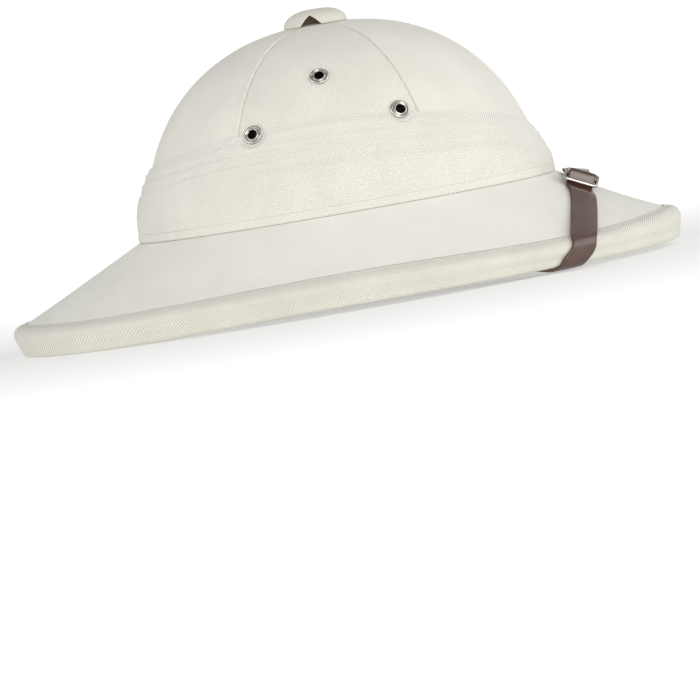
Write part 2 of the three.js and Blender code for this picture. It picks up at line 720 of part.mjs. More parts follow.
// A flat strip along smooth curves through the rows, of even width and thickness.
function strapSections(steps) {
    const rows = strapRows();
    const centres = new THREE.CatmullRomCurve3(rows.map(({ centre }) => centre), false, 'centripetal');
    const places = rows.map((_, row) => row / (rows.length - 1));
    const acrossAt = (part) => {
        const row = Math.min(Math.floor(part * (rows.length - 1)), rows.length - 2);
        const share = (part - places[row]) * (rows.length - 1);
        return rows[row].across.clone().lerp(rows[row + 1].across, share).normalize();
    };
    return Array.from({ length: steps + 1 }, (_, step) => {
        const part = step / steps;
        const centre = centres.getPoint(part);
        const along = centres.getTangent(part);
        const across = acrossAt(part);
        const out = along.clone().cross(across).normalize();
        const skew = Math.sqrt(1 - along.dot(across) ** 2);
        const half = across.multiplyScalar(STRAP_WIDTH / 2 / skew);
        const up = out.multiplyScalar(STRAP_THICKNESS / 2);
        return [
            centre.clone().add(half).add(up),
            centre.clone().sub(half).add(up),
            centre.clone().sub(half).sub(up),
            centre.clone().add(half).sub(up),
        ];
    });
}

const rivetPlace = (side) => crownPlace(side === 'left' ? -STRAP_END_TURN : STRAP_END_TURN,
    STRAP_END_HEIGHT, -CROWN_WALL, true);

const rivetHole = (side) =>
    roundCutter(RIVET_SHANK_RADIUS + GAP, 2 * (RIVET_DEPTH + GAP), rivetPlace(side));

const STRAP_STEPS = 170;

function chinStrap() {
    const bar = toSolid(sweptBar(strapSections(STRAP_STEPS)));
    const solid = SIDES.map(rivetHole).reduce((cut, hole) => cut.subtract(hole), bar);
    return piece('chin_strap', toGeometry(solid), LEATHER);
}

const RIVET_HEAD_HEIGHT = 1.3;

function strapRivet(side) {
    const head = STRAP_WALL_CLEAR + STRAP_THICKNESS / 2 + GAP;
    const profile = [
        [0, -RIVET_DEPTH],
        [RIVET_SHANK_RADIUS, -RIVET_DEPTH],
        [RIVET_SHANK_RADIUS, head],
        [RIVET_HEAD_RADIUS, head],
        [RIVET_HEAD_RADIUS - 0.8, head + RIVET_HEAD_HEIGHT],
        [0, head + RIVET_HEAD_HEIGHT],
    ];
    const geometry = turned(profile, 16);
    const mesh = piece(`strap_rivet_${side}`, geometry, NICKEL);
    mesh.applyMatrix4(rivetPlace(side));
    return mesh;
}

// The slide: a frame of round wire with a third bar across its middle.
function strapSlide() {
    const { middle, across, along, out } = slideFrame();
    const radius = SLIDE_BAR / 2;
    const [span, length] = [SLIDE_SPAN - SLIDE_BAR, SLIDE_LENGTH - SLIDE_BAR];
    const corners = [[1, 1], [-1, 1], [-1, -1], [1, -1]].map(([x, y]) =>
        new THREE.SphereGeometry(radius, 12, 8).translate(x * span / 2, y * length / 2, 0));
    const bars = [-1, 0, 1].map((y) =>
        new THREE.CylinderGeometry(radius, radius, span, 12).rotateZ(Math.PI / 2).translate(0, y * length / 2, 0));
    const ends = [-1, 1].map((x) =>
        new THREE.CylinderGeometry(radius, radius, length, 12).translate(x * span / 2, 0, 0));
    const solids = [...corners, ...bars, ...ends].map(toSolid);
    const mesh = piece('strap_slide', toGeometry(solids.reduce((joined, bar) => joined.add(bar))), NICKEL);
    mesh.applyMatrix4(new THREE.Matrix4().makeBasis(across, along.clone().negate(), out).setPosition(middle));
    return mesh;
}

// ---------------------------------------------------------------- assembly

const shell = new THREE.Group();
shell.add(crown(), brim(), brimBinding(), ventCap());

const puggaree = new THREE.Group();
puggaree.add(...puggareeFolds(), puggareeBand(), puggareeFootRoll());

const eyelets = new THREE.Group();
eyelets.add(...EYELETS.map(eyelet));

const strap = new THREE.Group();
strap.add(chinStrap(), strapSlide(), strapRivet('right'), strapRivet('left'));

// The model's origin is on the floor, midway between the front and rear tips of the brim.
const helmet = new THREE.Group();
helmet.position.x = -RIM_MIDDLE;
helmet.add(shell, puggaree, eyelets, strap);

export default helmet;
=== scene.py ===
"""A white cloth-covered pith helmet with a folded puggaree, nickel eyelets and a leather chin strap.

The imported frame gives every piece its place. Lengths are in millimetres until a mesh is written, and
turns are in degrees round the crown's centre, from the helmet's front (+X) towards the wearer's left (+Y).
"""

import logging
import math
from dataclasses import dataclass
from enum import Enum
from typing import Any, Sequence

import bpy
import numpy as np
from mathutils import Matrix, Vector


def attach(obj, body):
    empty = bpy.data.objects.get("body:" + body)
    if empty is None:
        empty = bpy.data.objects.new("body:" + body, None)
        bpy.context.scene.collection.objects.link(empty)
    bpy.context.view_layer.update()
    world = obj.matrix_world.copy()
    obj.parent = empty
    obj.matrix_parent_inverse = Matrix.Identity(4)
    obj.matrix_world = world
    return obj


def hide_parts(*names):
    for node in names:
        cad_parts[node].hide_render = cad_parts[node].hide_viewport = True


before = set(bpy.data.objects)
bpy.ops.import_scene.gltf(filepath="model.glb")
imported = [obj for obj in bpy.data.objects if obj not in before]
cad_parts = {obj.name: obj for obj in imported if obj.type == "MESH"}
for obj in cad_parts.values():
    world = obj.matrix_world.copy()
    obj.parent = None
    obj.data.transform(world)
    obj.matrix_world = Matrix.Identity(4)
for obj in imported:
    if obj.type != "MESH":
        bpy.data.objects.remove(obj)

LOG = logging.getLogger("pith_helmet")
MM = 0.001
BODY = "root"
CLOTH_LAYER = "cloth"
RIBS_LAYER = "ribs"
Array = np.ndarray
Piece = bpy.types.Object
Socket = bpy.types.NodeSocket
Profile = Sequence[tuple[float, float]]


# ---------------------------------------------------------------- numbers and curves


def table_at(values: Sequence[float], turn: Array) -> Array:
    """Read a column of evenly spaced turns from 0 to 180 degrees smoothly at any turn.

    Args:
        values: The column, first at the front and last at the rear.
        turn: Turns from the front in degrees, of either sign.

    Returns:
        The value at each turn, the same on both sides of the helmet.
    """
    column = np.asarray(values, float)
    last = len(column) - 1
    place = sides(turn) / (180.0 / last)
    row = np.minimum(np.floor(place).astype(int), last - 1)
    part = place - row

    def at(index: Array) -> Array:
        """The column mirrored at both of its ends."""
        return column[last - np.abs(last - np.abs(index))]

    a, b, c, d = at(row - 1), at(row), at(row + 1), at(row + 2)
    bend = 2 * a - 5 * b + 4 * c - d + part * (3 * (b - c) + d - a)
    return b + 0.5 * part * (c - a + part * bend)


def ease(value: Array, low: float, high: float) -> Array:
    """Ease from 0 at low to 1 at high."""
    part = np.clip((np.asarray(value, float) - low) / (high - low), 0.0, 1.0)
    return part * part * (3.0 - 2.0 * part)


def turns_round(count: int) -> Array:
    """Evenly spaced turns once round the helmet, from its front."""
    return np.linspace(0.0, 360.0, count, endpoint=False)


def angles_round(count: int) -> Array:
    """The same in radians."""
    return np.linspace(0.0, 2 * math.pi, count, endpoint=False)


def unit(vectors: Array) -> Array:
    """Scale vectors along the last axis to length one."""
    return vectors / np.maximum(np.linalg.norm(vectors, axis=-1, keepdims=True), 1e-12)


def sides(turn: Array) -> Array:
    """How far round each turn is from the front, from 0 to 180 on either side."""
    return np.abs((np.asarray(turn, float) + 180.0) % 360.0 - 180.0)


def unevenness(turn: Array, across: Array, seed: float) -> Array:
    """A slow unevenness between about -1 and 1 that closes on itself round the helmet.

    Args:
        turn: Turns from the front.
        across: A second coordinate, in millimetres.
        seed: Shifts the pattern, so that no two pieces share one.

    Returns:
        The unevenness at each place.
    """
    angle = np.radians(turn)
    total = np.zeros(np.broadcast(turn, across).shape)
    for wave, (rounds, pitch) in enumerate([(3, 61.0), (5, 37.0), (9, 23.0), (14, 17.0)]):
        drift = seed * (1.7 + wave) + 2.0 * across / pitch
        total = total + np.sin(rounds * angle + drift) * np.cos(across / pitch + seed + wave) / (1 + wave)
    return total / 1.6


def centripetal_curve(points: Array, parts: Array) -> Array:
    """Run a smooth curve through points, as a strip of leather bends through its supports.

    Args:
        points: The points passed through, one row each.
        parts: Places along the curve from 0 to 1, evenly shared between the points.

    Returns:
        The curve's points at those places.
    """
    padded = np.array([2 * points[0] - points[1], *points, 2 * points[-1] - points[-2]])
    place = np.clip(parts, 0.0, 1.0) * (len(points) - 1)
    row = np.minimum(place.astype(int), len(points) - 2)
    share = (place - row)[:, None]
    p0, p1, p2, p3 = (padded[row + shift] for shift in range(4))
    t0, t1, t2 = (np.sqrt(np.linalg.norm(b - a, axis=1, keepdims=True))
                  for a, b in ((p0, p1), (p1, p2), (p2, p3)))
    slope_in = ((p1 - p0) / t0 - (p2 - p0) / (t0 + t1) + (p2 - p1) / t1) * t1
    slope_out = ((p2 - p1) / t1 - (p3 - p1) / (t1 + t2) + (p3 - p2) / t2) * t1
    square = share * share
    cube = square * share
    ends = (2 * cube - 3 * square + 1) * p1 + (3 * square - 2 * cube) * p2
    return ends + (cube - 2 * square + share) * slope_in + (cube - square) * slope_out


def length_along(points: Array) -> Array:
    """How far each point of a line is along it."""
    return np.concatenate([[0.0], np.cumsum(np.linalg.norm(np.diff(points, axis=0), axis=1))])


def evenly_spaced(points: Array, values: Array, count: int) -> tuple[Array, Array]:
    """Lay points out again at even distances along their line.

    Args:
        points: The points, one row each.
        values: A vector for each point.
        count: How many points are wanted.

    Returns:
        The new points and the vectors at them.
    """
    reach = length_along(points)
    wanted = np.linspace(0.0, reach[-1], count)
    new = [np.stack([np.interp(wanted, reach, column) for column in grid.T], -1) for grid in (points, values)]
    return new[0], new[1]


def softened(values: Array, reach: int) -> Array:
    """Average each row with its neighbours, whose weight falls off evenly over a number of rows.

    Args:
        values: One row for each place.
        reach: How many rows to each side count.

    Returns:
        The averaged rows.
    """
    weights = 1 - np.abs(np.arange(-reach, reach + 1)) / (reach + 1)
    padded = np.concatenate([np.repeat(values[:1], reach, 0), values, np.repeat(values[-1:], reach, 0)])
    return np.stack([np.convolve(column, weights / weights.sum(), "valid") for column in padded.T], -1)


def corner_curve(start: Array, corner: Array, end: Array, steps: int) -> list[Array]:
    """The points of a rounding from start to end, drawn towards the corner between them."""
    parts = np.linspace(0.0, 1.0, steps)
    return [start * (1 - part) ** 2 + corner * 2 * part * (1 - part) + end * part**2 for part in parts]


def rounded(corners: Array, radii: Sequence[Array], steps: int) -> Array:
    """Round the corners of outlines, many outlines at once.

    Args:
        corners: Corners by outlines by coordinates; the outlines are open and keep their two ends.
        radii: How far from each inner corner its rounding starts, for each outline.
        steps: Points in each rounding.

    Returns:
        The rounded outlines, with the points in place of the corners.
    """
    outline = [corners[0]]
    for index in range(1, len(corners) - 1):
        before, corner, after = corners[index - 1], corners[index], corners[index + 1]
        radius = radii[index - 1][:, None]
        start = corner + unit(before - corner) * radius
        end = corner + unit(after - corner) * radius
        outline += corner_curve(start, corner, end, steps)
    outline.append(corners[-1])
    return np.array(outline)


def refined(points: Array, longest: float) -> Array:
    """Add points along the first axis of outlines until no step is longer than a length.

    Args:
        points: Points by anything by coordinates.
        longest: The longest step allowed, in millimetres.

    Returns:
        The outlines with the added points.
    """
    rows = [points[:1]]
    for before, after in zip(points[:-1], points[1:]):
        count = max(1, math.ceil(float(np.linalg.norm(after - before, axis=-1).max()) / longest))
        parts = np.arange(1, count + 1).reshape((-1,) + (1,) * before.ndim) / count
        rows.append(before + (after - before) * parts)
    return np.concatenate(rows)


# ---------------------------------------------------------------- the helmet's form


@dataclass(frozen=True)
class HelmetForm:
    """The helmet's driving sizes, the same as the frame's, and the surfaces worked out from them."""

    gap: float = 0.3
    junction_height: float = 48.5
    crown_half_length: float = 105.5
    crown_half_width: float = 93.0
    crown_rise: float = 98.5
    crown_fullness: float = 2.3
    crown_wall: float = 6.0
    vent_hole_radius: float = 8.0
    rim_front_reach: float = 173.6
    rim_rear_reach: float = 187.2
    rim_half_width: float = 147.0
    rim_lift: float = 2.9
    rear_flat_half_angle: float = 38.0
    brim_root_thickness: float = 7.0
    foot_roll_out: float = 6.6
    binding_thickness: float = 1.2
    binding_flange: float = 8.5
    foot_flat: float = 3.2
    edge_round: float = 1.5
    slope_share: float = 1.12  # a step across the brim's slope is this much longer upright
    corner: tuple[float, ...] = (18.2, 13.0, 15.0, 13.0, 14.2)
    undercut: tuple[float, ...] = (3.0, 3.6, 4.6, 5.0, 5.1)
    hollow: tuple[float, ...] = (1.6, 1.0, 0.5, 0.3, 0.2)

    @property
    def rim_middle(self) -> float:
        """How far the middle of the brim lies behind the crown's centre, as a place along X."""
        return (self.rim_front_reach - self.rim_rear_reach) / 2

    @property
    def rim_half_length(self) -> float:
        """Half of the brim's length."""
        return (self.rim_front_reach + self.rim_rear_reach) / 2

    @property
    def binding_stand(self) -> float:
        """How far the binding's face stands over the brim's own."""
        return self.slope_share * (self.binding_thickness + self.gap)

    def crown_share(self, height: Array) -> Array:
        """Part of the half length left at a height over the crown's foot."""
        return (1 - (np.asarray(height, float) / self.crown_rise) ** 2) ** (1 / self.crown_fullness)

    def crown_normal(self, turn: Array, height: Array) -> Array:
        """The direction straight out of the bare crown.

        Args:
            turn: Turns from the front.
            height: Heights over its foot.

        Returns:
            Unit vectors.
        """
        angle = np.radians(turn)
        share = self.crown_share(height)
        fall = (-2 * height / self.crown_rise**2) / self.crown_fullness * share ** (1 - self.crown_fullness)
        length, width = self.crown_half_length, self.crown_half_width
        level = np.zeros(np.broadcast(angle, share).shape)
        around = np.stack([level - length * np.sin(angle), level + width * np.cos(angle), level], -1)
        upward = np.stack([length * fall * np.cos(angle), width * fall * np.sin(angle), level + 1], -1)
        return unit(np.cross(around, upward))

    def over_crown(self, turn: Array, height: Array, distance: Array) -> Array:
        """Points straight out from the bare crown.

        Args:
            turn: Turns from the front.
            height: Heights over the crown's foot.
            distance: How far out from the surface; negative is inside.

        Returns:
            The points, x, y, z over the floor in the last axis.
        """
        turn, height, distance = np.broadcast_arrays(turn, height, distance)
        angle = np.radians(turn)
        share = self.crown_share(height)
        x = self.crown_half_length * share * np.cos(angle)
        y = self.crown_half_width * share * np.sin(angle)
        foot = np.stack([x, y, self.junction_height + height], -1)
        return foot + self.crown_normal(turn, height) * distance[..., None]

    def rim_floor(self, turn: Array) -> Array:
        """The height of the rim's underside over the floor: 0 along the flat rear."""
        return self.rim_lift * ease(180.0 - sides(turn), self.rear_flat_half_angle, 90.0)

    def rim_plane(self, turn: Array) -> tuple[Array, Array, Array]:
        """The upright plane of the brim's section at each turn.

        Args:
            turn: Turns from the front.

        Returns:
            The section's foot beside the crown, its outward direction and its length.
        """
        angle = np.radians(turn)
        level = np.zeros_like(angle)
        foot_x = (self.crown_half_length + self.foot_roll_out) * np.cos(angle)
        foot_y = (self.crown_half_width + self.foot_roll_out) * np.sin(angle)
        foot = np.stack([foot_x, foot_y, level], -1)
        tip_x = self.rim_middle + self.rim_half_length * np.cos(angle)
        tip = np.stack([tip_x, self.rim_half_width * np.sin(angle), level], -1)
        run = np.linalg.norm(tip - foot, axis=-1)
        return foot, unit(tip - foot), run

    def in_plane(self, turn: Array, along: Array, height: Array) -> Array:
        """Points of the brim's section.

        Args:
            turn: Turns from the front.
            along: How far out from the crown's foot.
            height: Height over the floor.

        Returns:
            The points.
        """
        foot, out, _ = self.rim_plane(turn)
        points = foot + out * np.asarray(along)[..., None]
        points[..., 2] = height
        return points

    def brim_top(self, turn: Array, along: Array) -> Array:
        """Height of the brim's own top.

        Args:
            turn: Turns from the front.
            along: How far out from the crown's foot.

        Returns:
            Heights over the floor.
        """
        run = self.rim_plane(turn)[2]
        part = along / run
        low = table_at(self.corner, turn) - self.binding_stand
        chord = self.junction_height + (low - self.junction_height) * part
        return chord - table_at(self.hollow, turn) * 4 * part * (1 - part)

    def brim_root(self, turn: Array, height: float) -> Array:
        """Points of the crown's inner wall where the brim ends.

        Args:
            turn: Turns from the front.
            height: Height over the floor.

        Returns:
            The points.
        """
        angle = np.radians(turn)
        x = (self.crown_half_length - self.crown_wall) * np.cos(angle)
        y = (self.crown_half_width - self.crown_wall) * np.sin(angle)
        return np.stack([x, y, np.full_like(x, height)], -1)

    def edge_lines(self, turn: Array) -> tuple[Array, Array]:
        """Distances out from the crown's foot of the edge's lower corner and of the strip it rests on."""
        lower = self.rim_plane(turn)[2] - table_at(self.undercut, turn)
        return lower, lower - self.edge_round - self.foot_flat

    def brim_under(self, turn: Array, part: float) -> Array:
        """Points of the brim's underside.

        Args:
            turn: Turns from the front.
            part: 0 at the strip that the brim rests on and 1 at the crown's wall.

        Returns:
            The points.
        """
        _, flat = self.edge_lines(turn)
        outer = self.in_plane(turn, flat, self.rim_floor(turn) + self.binding_stand)
        inner = self.brim_root(turn, self.junction_height - self.brim_root_thickness)
        return outer + (inner - outer) * part

    def binding_corners(self, turn: Array) -> Array:
        """The eight corners of the bound edge, from the top flange round to the flange underneath.

        Args:
            turn: Turns from the front.

        Returns:
            Corners by turns by x, y, z.
        """
        foot, _, run = self.rim_plane(turn)
        floor = self.rim_floor(turn)
        corner = table_at(self.corner, turn)
        lower, flat = self.edge_lines(turn)
        side_share = 0.3  # the edge's side bends in a little at this share of its height

        def top(along: Array) -> Array:
            """A point on the binding's upper face."""
            return self.in_plane(turn, along, self.brim_top(turn, along) + self.binding_stand)

        root = np.linalg.norm(self.brim_root(turn, 0.0), axis=-1)
        reach = flat + np.linalg.norm(foot, axis=-1) - root
        under = self.brim_under(turn, 0.0)
        inner = self.brim_under(turn, 1.0)
        under = under + (inner - under) * (self.binding_flange / reach)[..., None]
        under[..., 2] -= self.binding_stand
        return np.array([
            top(run - self.binding_flange),
            top(run - self.edge_round),
            self.in_plane(turn, run, corner - self.edge_round),
            self.in_plane(turn, lower + side_share * (run - lower), floor + side_share * corner),
            self.in_plane(turn, lower, floor + self.edge_round),
            self.in_plane(turn, lower - self.edge_round, floor),
            self.in_plane(turn, flat, floor),
            under,
        ])

    def shift(self, points: Array) -> Array:
        """Move points from the crown's centre to the frame, whose origin is the middle of the brim."""
        return points - np.array([self.rim_middle, 0.0, 0.0])


# ---------------------------------------------------------------- meshes


def mesh_object(name: str, points: Array, faces: list) -> Piece:
    """Write points and the faces between them as an object.

    Args:
        name: Name of the object.
        points: Points in the frame, in millimetres.
        faces: The faces, as lists of point numbers.

    Returns:
        The object.
    """
    mesh = bpy.data.meshes.new(name)
    mesh.from_pydata((np.asarray(points) * MM).tolist(), [], faces)
    obj = bpy.data.objects.new(name, mesh)
    bpy.context.scene.collection.objects.link(obj)
    return obj


def add_piece(name: str, points: Array, faces: list) -> Piece:
    """Write a mesh object that rides on the helmet.

    Args:
        name: The object's name.
        points: The vertices in the frame, in millimetres.
        faces: Vertex numbers of each face.

    Returns:
        The new object.
    """
    obj = mesh_object(name, points, faces)
    obj.data.shade_smooth()
    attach(obj, BODY)
    return obj


def signed_volume(points: Array, quads: Array) -> float:
    """The volume inside closed quads, negative when they face inwards."""
    a, b, c, d = (points[quads[:, corner]] for corner in range(4))
    triples = np.einsum("ij,ij->i", a, np.cross(b, c)) + np.einsum("ij,ij->i", a, np.cross(c, d))
    return float(triples.sum() / 6)


def facing_out(points: Array, faces: list[list[int]]) -> list[list[int]]:
    """The faces of a closed tube, turned over if they face inwards."""
    quads = np.array([face for face in faces if len(face) == 4])
    return [face[::-1] for face in faces] if signed_volume(points, quads) < 0 else faces


@dataclass
class Skin:
    """A closed surface as a grid of points, with the place of each on the flat cloth or leather.

    Args:
        points: Rows by columns by x, y, z in millimetres, from the crown's centre.
        cloth: The place on the flat cloth in millimetres, with one more row or column where they close.
        ribs: How strongly the cloth's ribs show, from 0 to 1, for each point.
        columns_close: Whether the last column joins the first; rows always close.
    """

    points: Array
    cloth: Array
    ribs: Array | float = 1.0
    columns_close: bool = True

    def grid(self) -> tuple[Array, Array]:
        """The rows and columns of the quads' four corners, not yet wrapped."""
        rows, columns = self.points.shape[:2]
        row, column = np.meshgrid(np.arange(rows), np.arange(columns if self.columns_close else columns - 1),
                                  indexing="ij")
        row, column = row.ravel(), column.ravel()
        return (np.stack([row, row, row + 1, row + 1], 1),
                np.stack([column, column + 1, column + 1, column], 1))

    def build(self, name: str, slot: str, form: HelmetForm) -> Piece:
        """Write the skin as a mesh object that faces outwards.

        Args:
            name: The object's name.
            slot: Not used.
            form: The helmet's form, which places the crown's centre in the frame.

        Returns:
            The new object.
        """
        rows, columns = self.points.shape[:2]
        row, column = self.grid()
        points = form.shift(self.points.reshape(-1, 3))
        quads = (row % rows) * columns + column % columns
        flip = signed_volume(points - points.mean(0), quads) < 0
        if flip:
            quads, row, column = quads[:, ::-1], row[:, ::-1], column[:, ::-1]
        faces = quads.tolist()
        places = self.cloth[row.ravel(), column.ravel()]
        if not self.columns_close:
            ends = [np.arange(rows) * columns, np.arange(rows) * columns + columns - 1]
            first, last = (ends[0], ends[1][::-1]) if not flip else (ends[0][::-1], ends[1])
            faces += [first.tolist(), last.tolist()]
            flat = self.cloth[:rows].reshape(-1, 2)
            places = np.concatenate([places, flat[first], flat[last]])
        obj = add_piece(name, points, faces)
        layer = obj.data.uv_layers.new(name=CLOTH_LAYER)
        layer.data.foreach_set("uv", places.astype(np.float32).ravel())
        ribs = obj.data.attributes.new(RIBS_LAYER, "FLOAT", "POINT")
        strength = np.broadcast_to(self.ribs, (rows, columns)).astype(np.float32)
        ribs.data.foreach_set("value", np.ascontiguousarray(strength).ravel())
        return obj


def closed_cloth(around: Array, across: Array) -> Array:
    """Cloth places from a coordinate for each column and one for each row, both past the closing.

    Args:
        around: One value more than the columns.
        across: One value more than the rows.

    Returns:
        Rows by columns by the two coordinates.
    """
    across_grid, around_grid = np.meshgrid(across, around, indexing="ij")
    return np.stack([around_grid, across_grid], -1)


def closed_lengths(points: Array) -> Array:
    """The distance from a closed line's first row to each row and back to it, the mean of its columns."""
    steps = np.linalg.norm(np.roll(points, -1, 0) - points, axis=-1).reshape(len(points), -1).mean(1)
    return np.concatenate([[0.0], np.cumsum(steps)])


def past_closing(cloth: Array) -> Array:
    """Repeat a grid's first column and first row after its last ones."""
    cloth = np.concatenate([cloth, cloth[:, :1]], 1)
    return np.concatenate([cloth, cloth[:1]], 0)


def lathe(profile: Profile, count: int) -> Array:
    """Turn a closed profile round Z.

    Args:
        profile: The outline as (radius, height) pairs in millimetres.
        count: How many columns go round.

    Returns:
        Rows by columns by x, y, z.
    """
    angle = angles_round(count)
    radius, height = (np.array(profile)[:, axis, None] for axis in (0, 1))
    height = np.broadcast_to(height, (len(profile), count))
    return np.stack([radius * np.cos(angle), radius * np.sin(angle), height], -1)


def closed_outline(corners: Profile, radius: float, steps: int = 4) -> Array:
    """Round every corner of a closed profile.

    Args:
        corners: The corners as (radius, height) pairs.
        radius: How far from each corner its rounding starts, at most a third of a side.
        steps: Points in each rounding.

    Returns:
        The rounded outline.
    """
    around = np.array([corners[-1], *corners, corners[0]], float)
    outline = []
    for before, corner, after in zip(around[:-2], around[1:-1], around[2:]):
        start = corner + (before - corner) * min(1 / 3, radius / np.linalg.norm(before - corner))
        end = corner + (after - corner) * min(1 / 3, radius / np.linalg.norm(after - corner))
        outline += corner_curve(start, corner, end, steps)
    return np.array(outline)


def turned_piece(name: str, profile: Profile, columns: int, place: Matrix, form: HelmetForm) -> Piece:
    """A nickel piece turned round its own axis and stood in place.

    Args:
        name: The object's name.
        profile: Its closed outline as (radius, height) pairs.
        columns: How many columns go round.
        place: Where it stands, in the frame's millimetres.
        form: The helmet's form.

    Returns:
        The piece.
    """
    section = lathe(profile, columns)
    stand = np.array(place)
    points = section @ stand[:3, :3].T + stand[:3, 3] + np.array([form.rim_middle, 0.0, 0.0])
    cloth = closed_cloth(np.arange(columns + 1.0), closed_lengths(section))
    return Skin(points, cloth).build(name, "nickel", form)


def cut(obj: Piece, cutters: list[Piece]) -> None:
    """Cut closed objects out of a piece and delete them.

    Args:
        obj: The piece.
        cutters: The closed objects.
    """
    for cutter in cutters:
        modifier = obj.modifiers.new("cut", "BOOLEAN")
        modifier.operation = "DIFFERENCE"
        modifier.solver = "MANIFOLD"
        modifier.object = cutter
    bpy.context.view_layer.update()
    mesh = bpy.data.meshes.new_from_object(obj.evaluated_get(bpy.context.evaluated_depsgraph_get()))
    obj.modifiers.clear()
    name = obj.data.name
    obj.data = mesh
    mesh.name = name
    for cutter in cutters:
        bpy.data.objects.remove(cutter)


def circle(radius: float, count: int) -> Array:
    """Points evenly round a circle, by x and y."""
    angle = angles_round(count)
    return radius * np.stack([np.cos(angle), np.sin(angle)], -1)


def tube_faces(rings: int, around: int, closed: bool = False) -> list[list[int]]:
    """The faces between rings of points.

    Args:
        rings: How many rings there are.
        around: How many points each has.
        closed: Whether the last ring joins the first; if it doesn't, both ends are closed by a face.

    Returns:
        The point numbers of each face.
    """
    faces = []
    for this in range(rings if closed else rings - 1):
        lower, upper = this * around, (this + 1) % rings * around
        faces += [[lower + j, lower + (j + 1) % around, upper + (j + 1) % around, upper + j]
                  for j in range(around)]
    ends = [list(range(around))[::-1], list(range((rings - 1) * around, rings * around))]
    return faces if closed else faces + ends


def prism(outline: Array, low: float, high: float, place: Matrix) -> Piece:
    """A closed object to cut with, whose outline in x and y runs from one height to another.

    Args:
        outline: Points by x, y, going anticlockwise.
        low: The lower height.
        high: The upper height.
        place: Where it stands, in millimetres.

    Returns:
        The cutter.
    """
    count = len(outline)
    points = [place @ Vector((x, y, z)) for z in (low, high) for x, y in outline]
    walls = [[i, (i + 1) % count, count + (i + 1) % count, count + i] for i in range(count)]
    faces = [*walls, list(range(count))[::-1], list(range(count, 2 * count))]
    return mesh_object("cutter", np.array([tuple(point) for point in points]), faces)


# ---------------------------------------------------------------- finishes


def linear(hex_colour: str) -> tuple[float, float, float, float]:
    """Turn an sRGB hex colour into the linear colour that shaders take."""
    parts = [int(hex_colour[i:i + 2], 16) / 255 for i in (1, 3, 5)]
    red, green, blue = (p / 12.92 if p <= 0.04045 else ((p + 0.055) / 1.055) ** 2.4 for p in parts)
    return red, green, blue, 1.0


def add_node(tree: bpy.types.NodeTree, kind: str, inputs: dict[Any, Any] | None = None,
             **settings: Any) -> bpy.types.Node:
    """Add a node with its settings, values and links.

    Args:
        tree: The node tree.
        kind: The node's type name.
        inputs: For each socket, by name or number, its value or the output that feeds it.
        settings: The node's own properties.

    Returns:
        The new node.
    """
    node = tree.nodes.new(kind)
    for name, value in settings.items():
        setattr(node, name, value)
    for name, value in (inputs or {}).items():
        if isinstance(value, Socket):
            tree.links.new(value, node.inputs[name])
        else:
            node.inputs[name].default_value = value
    return node


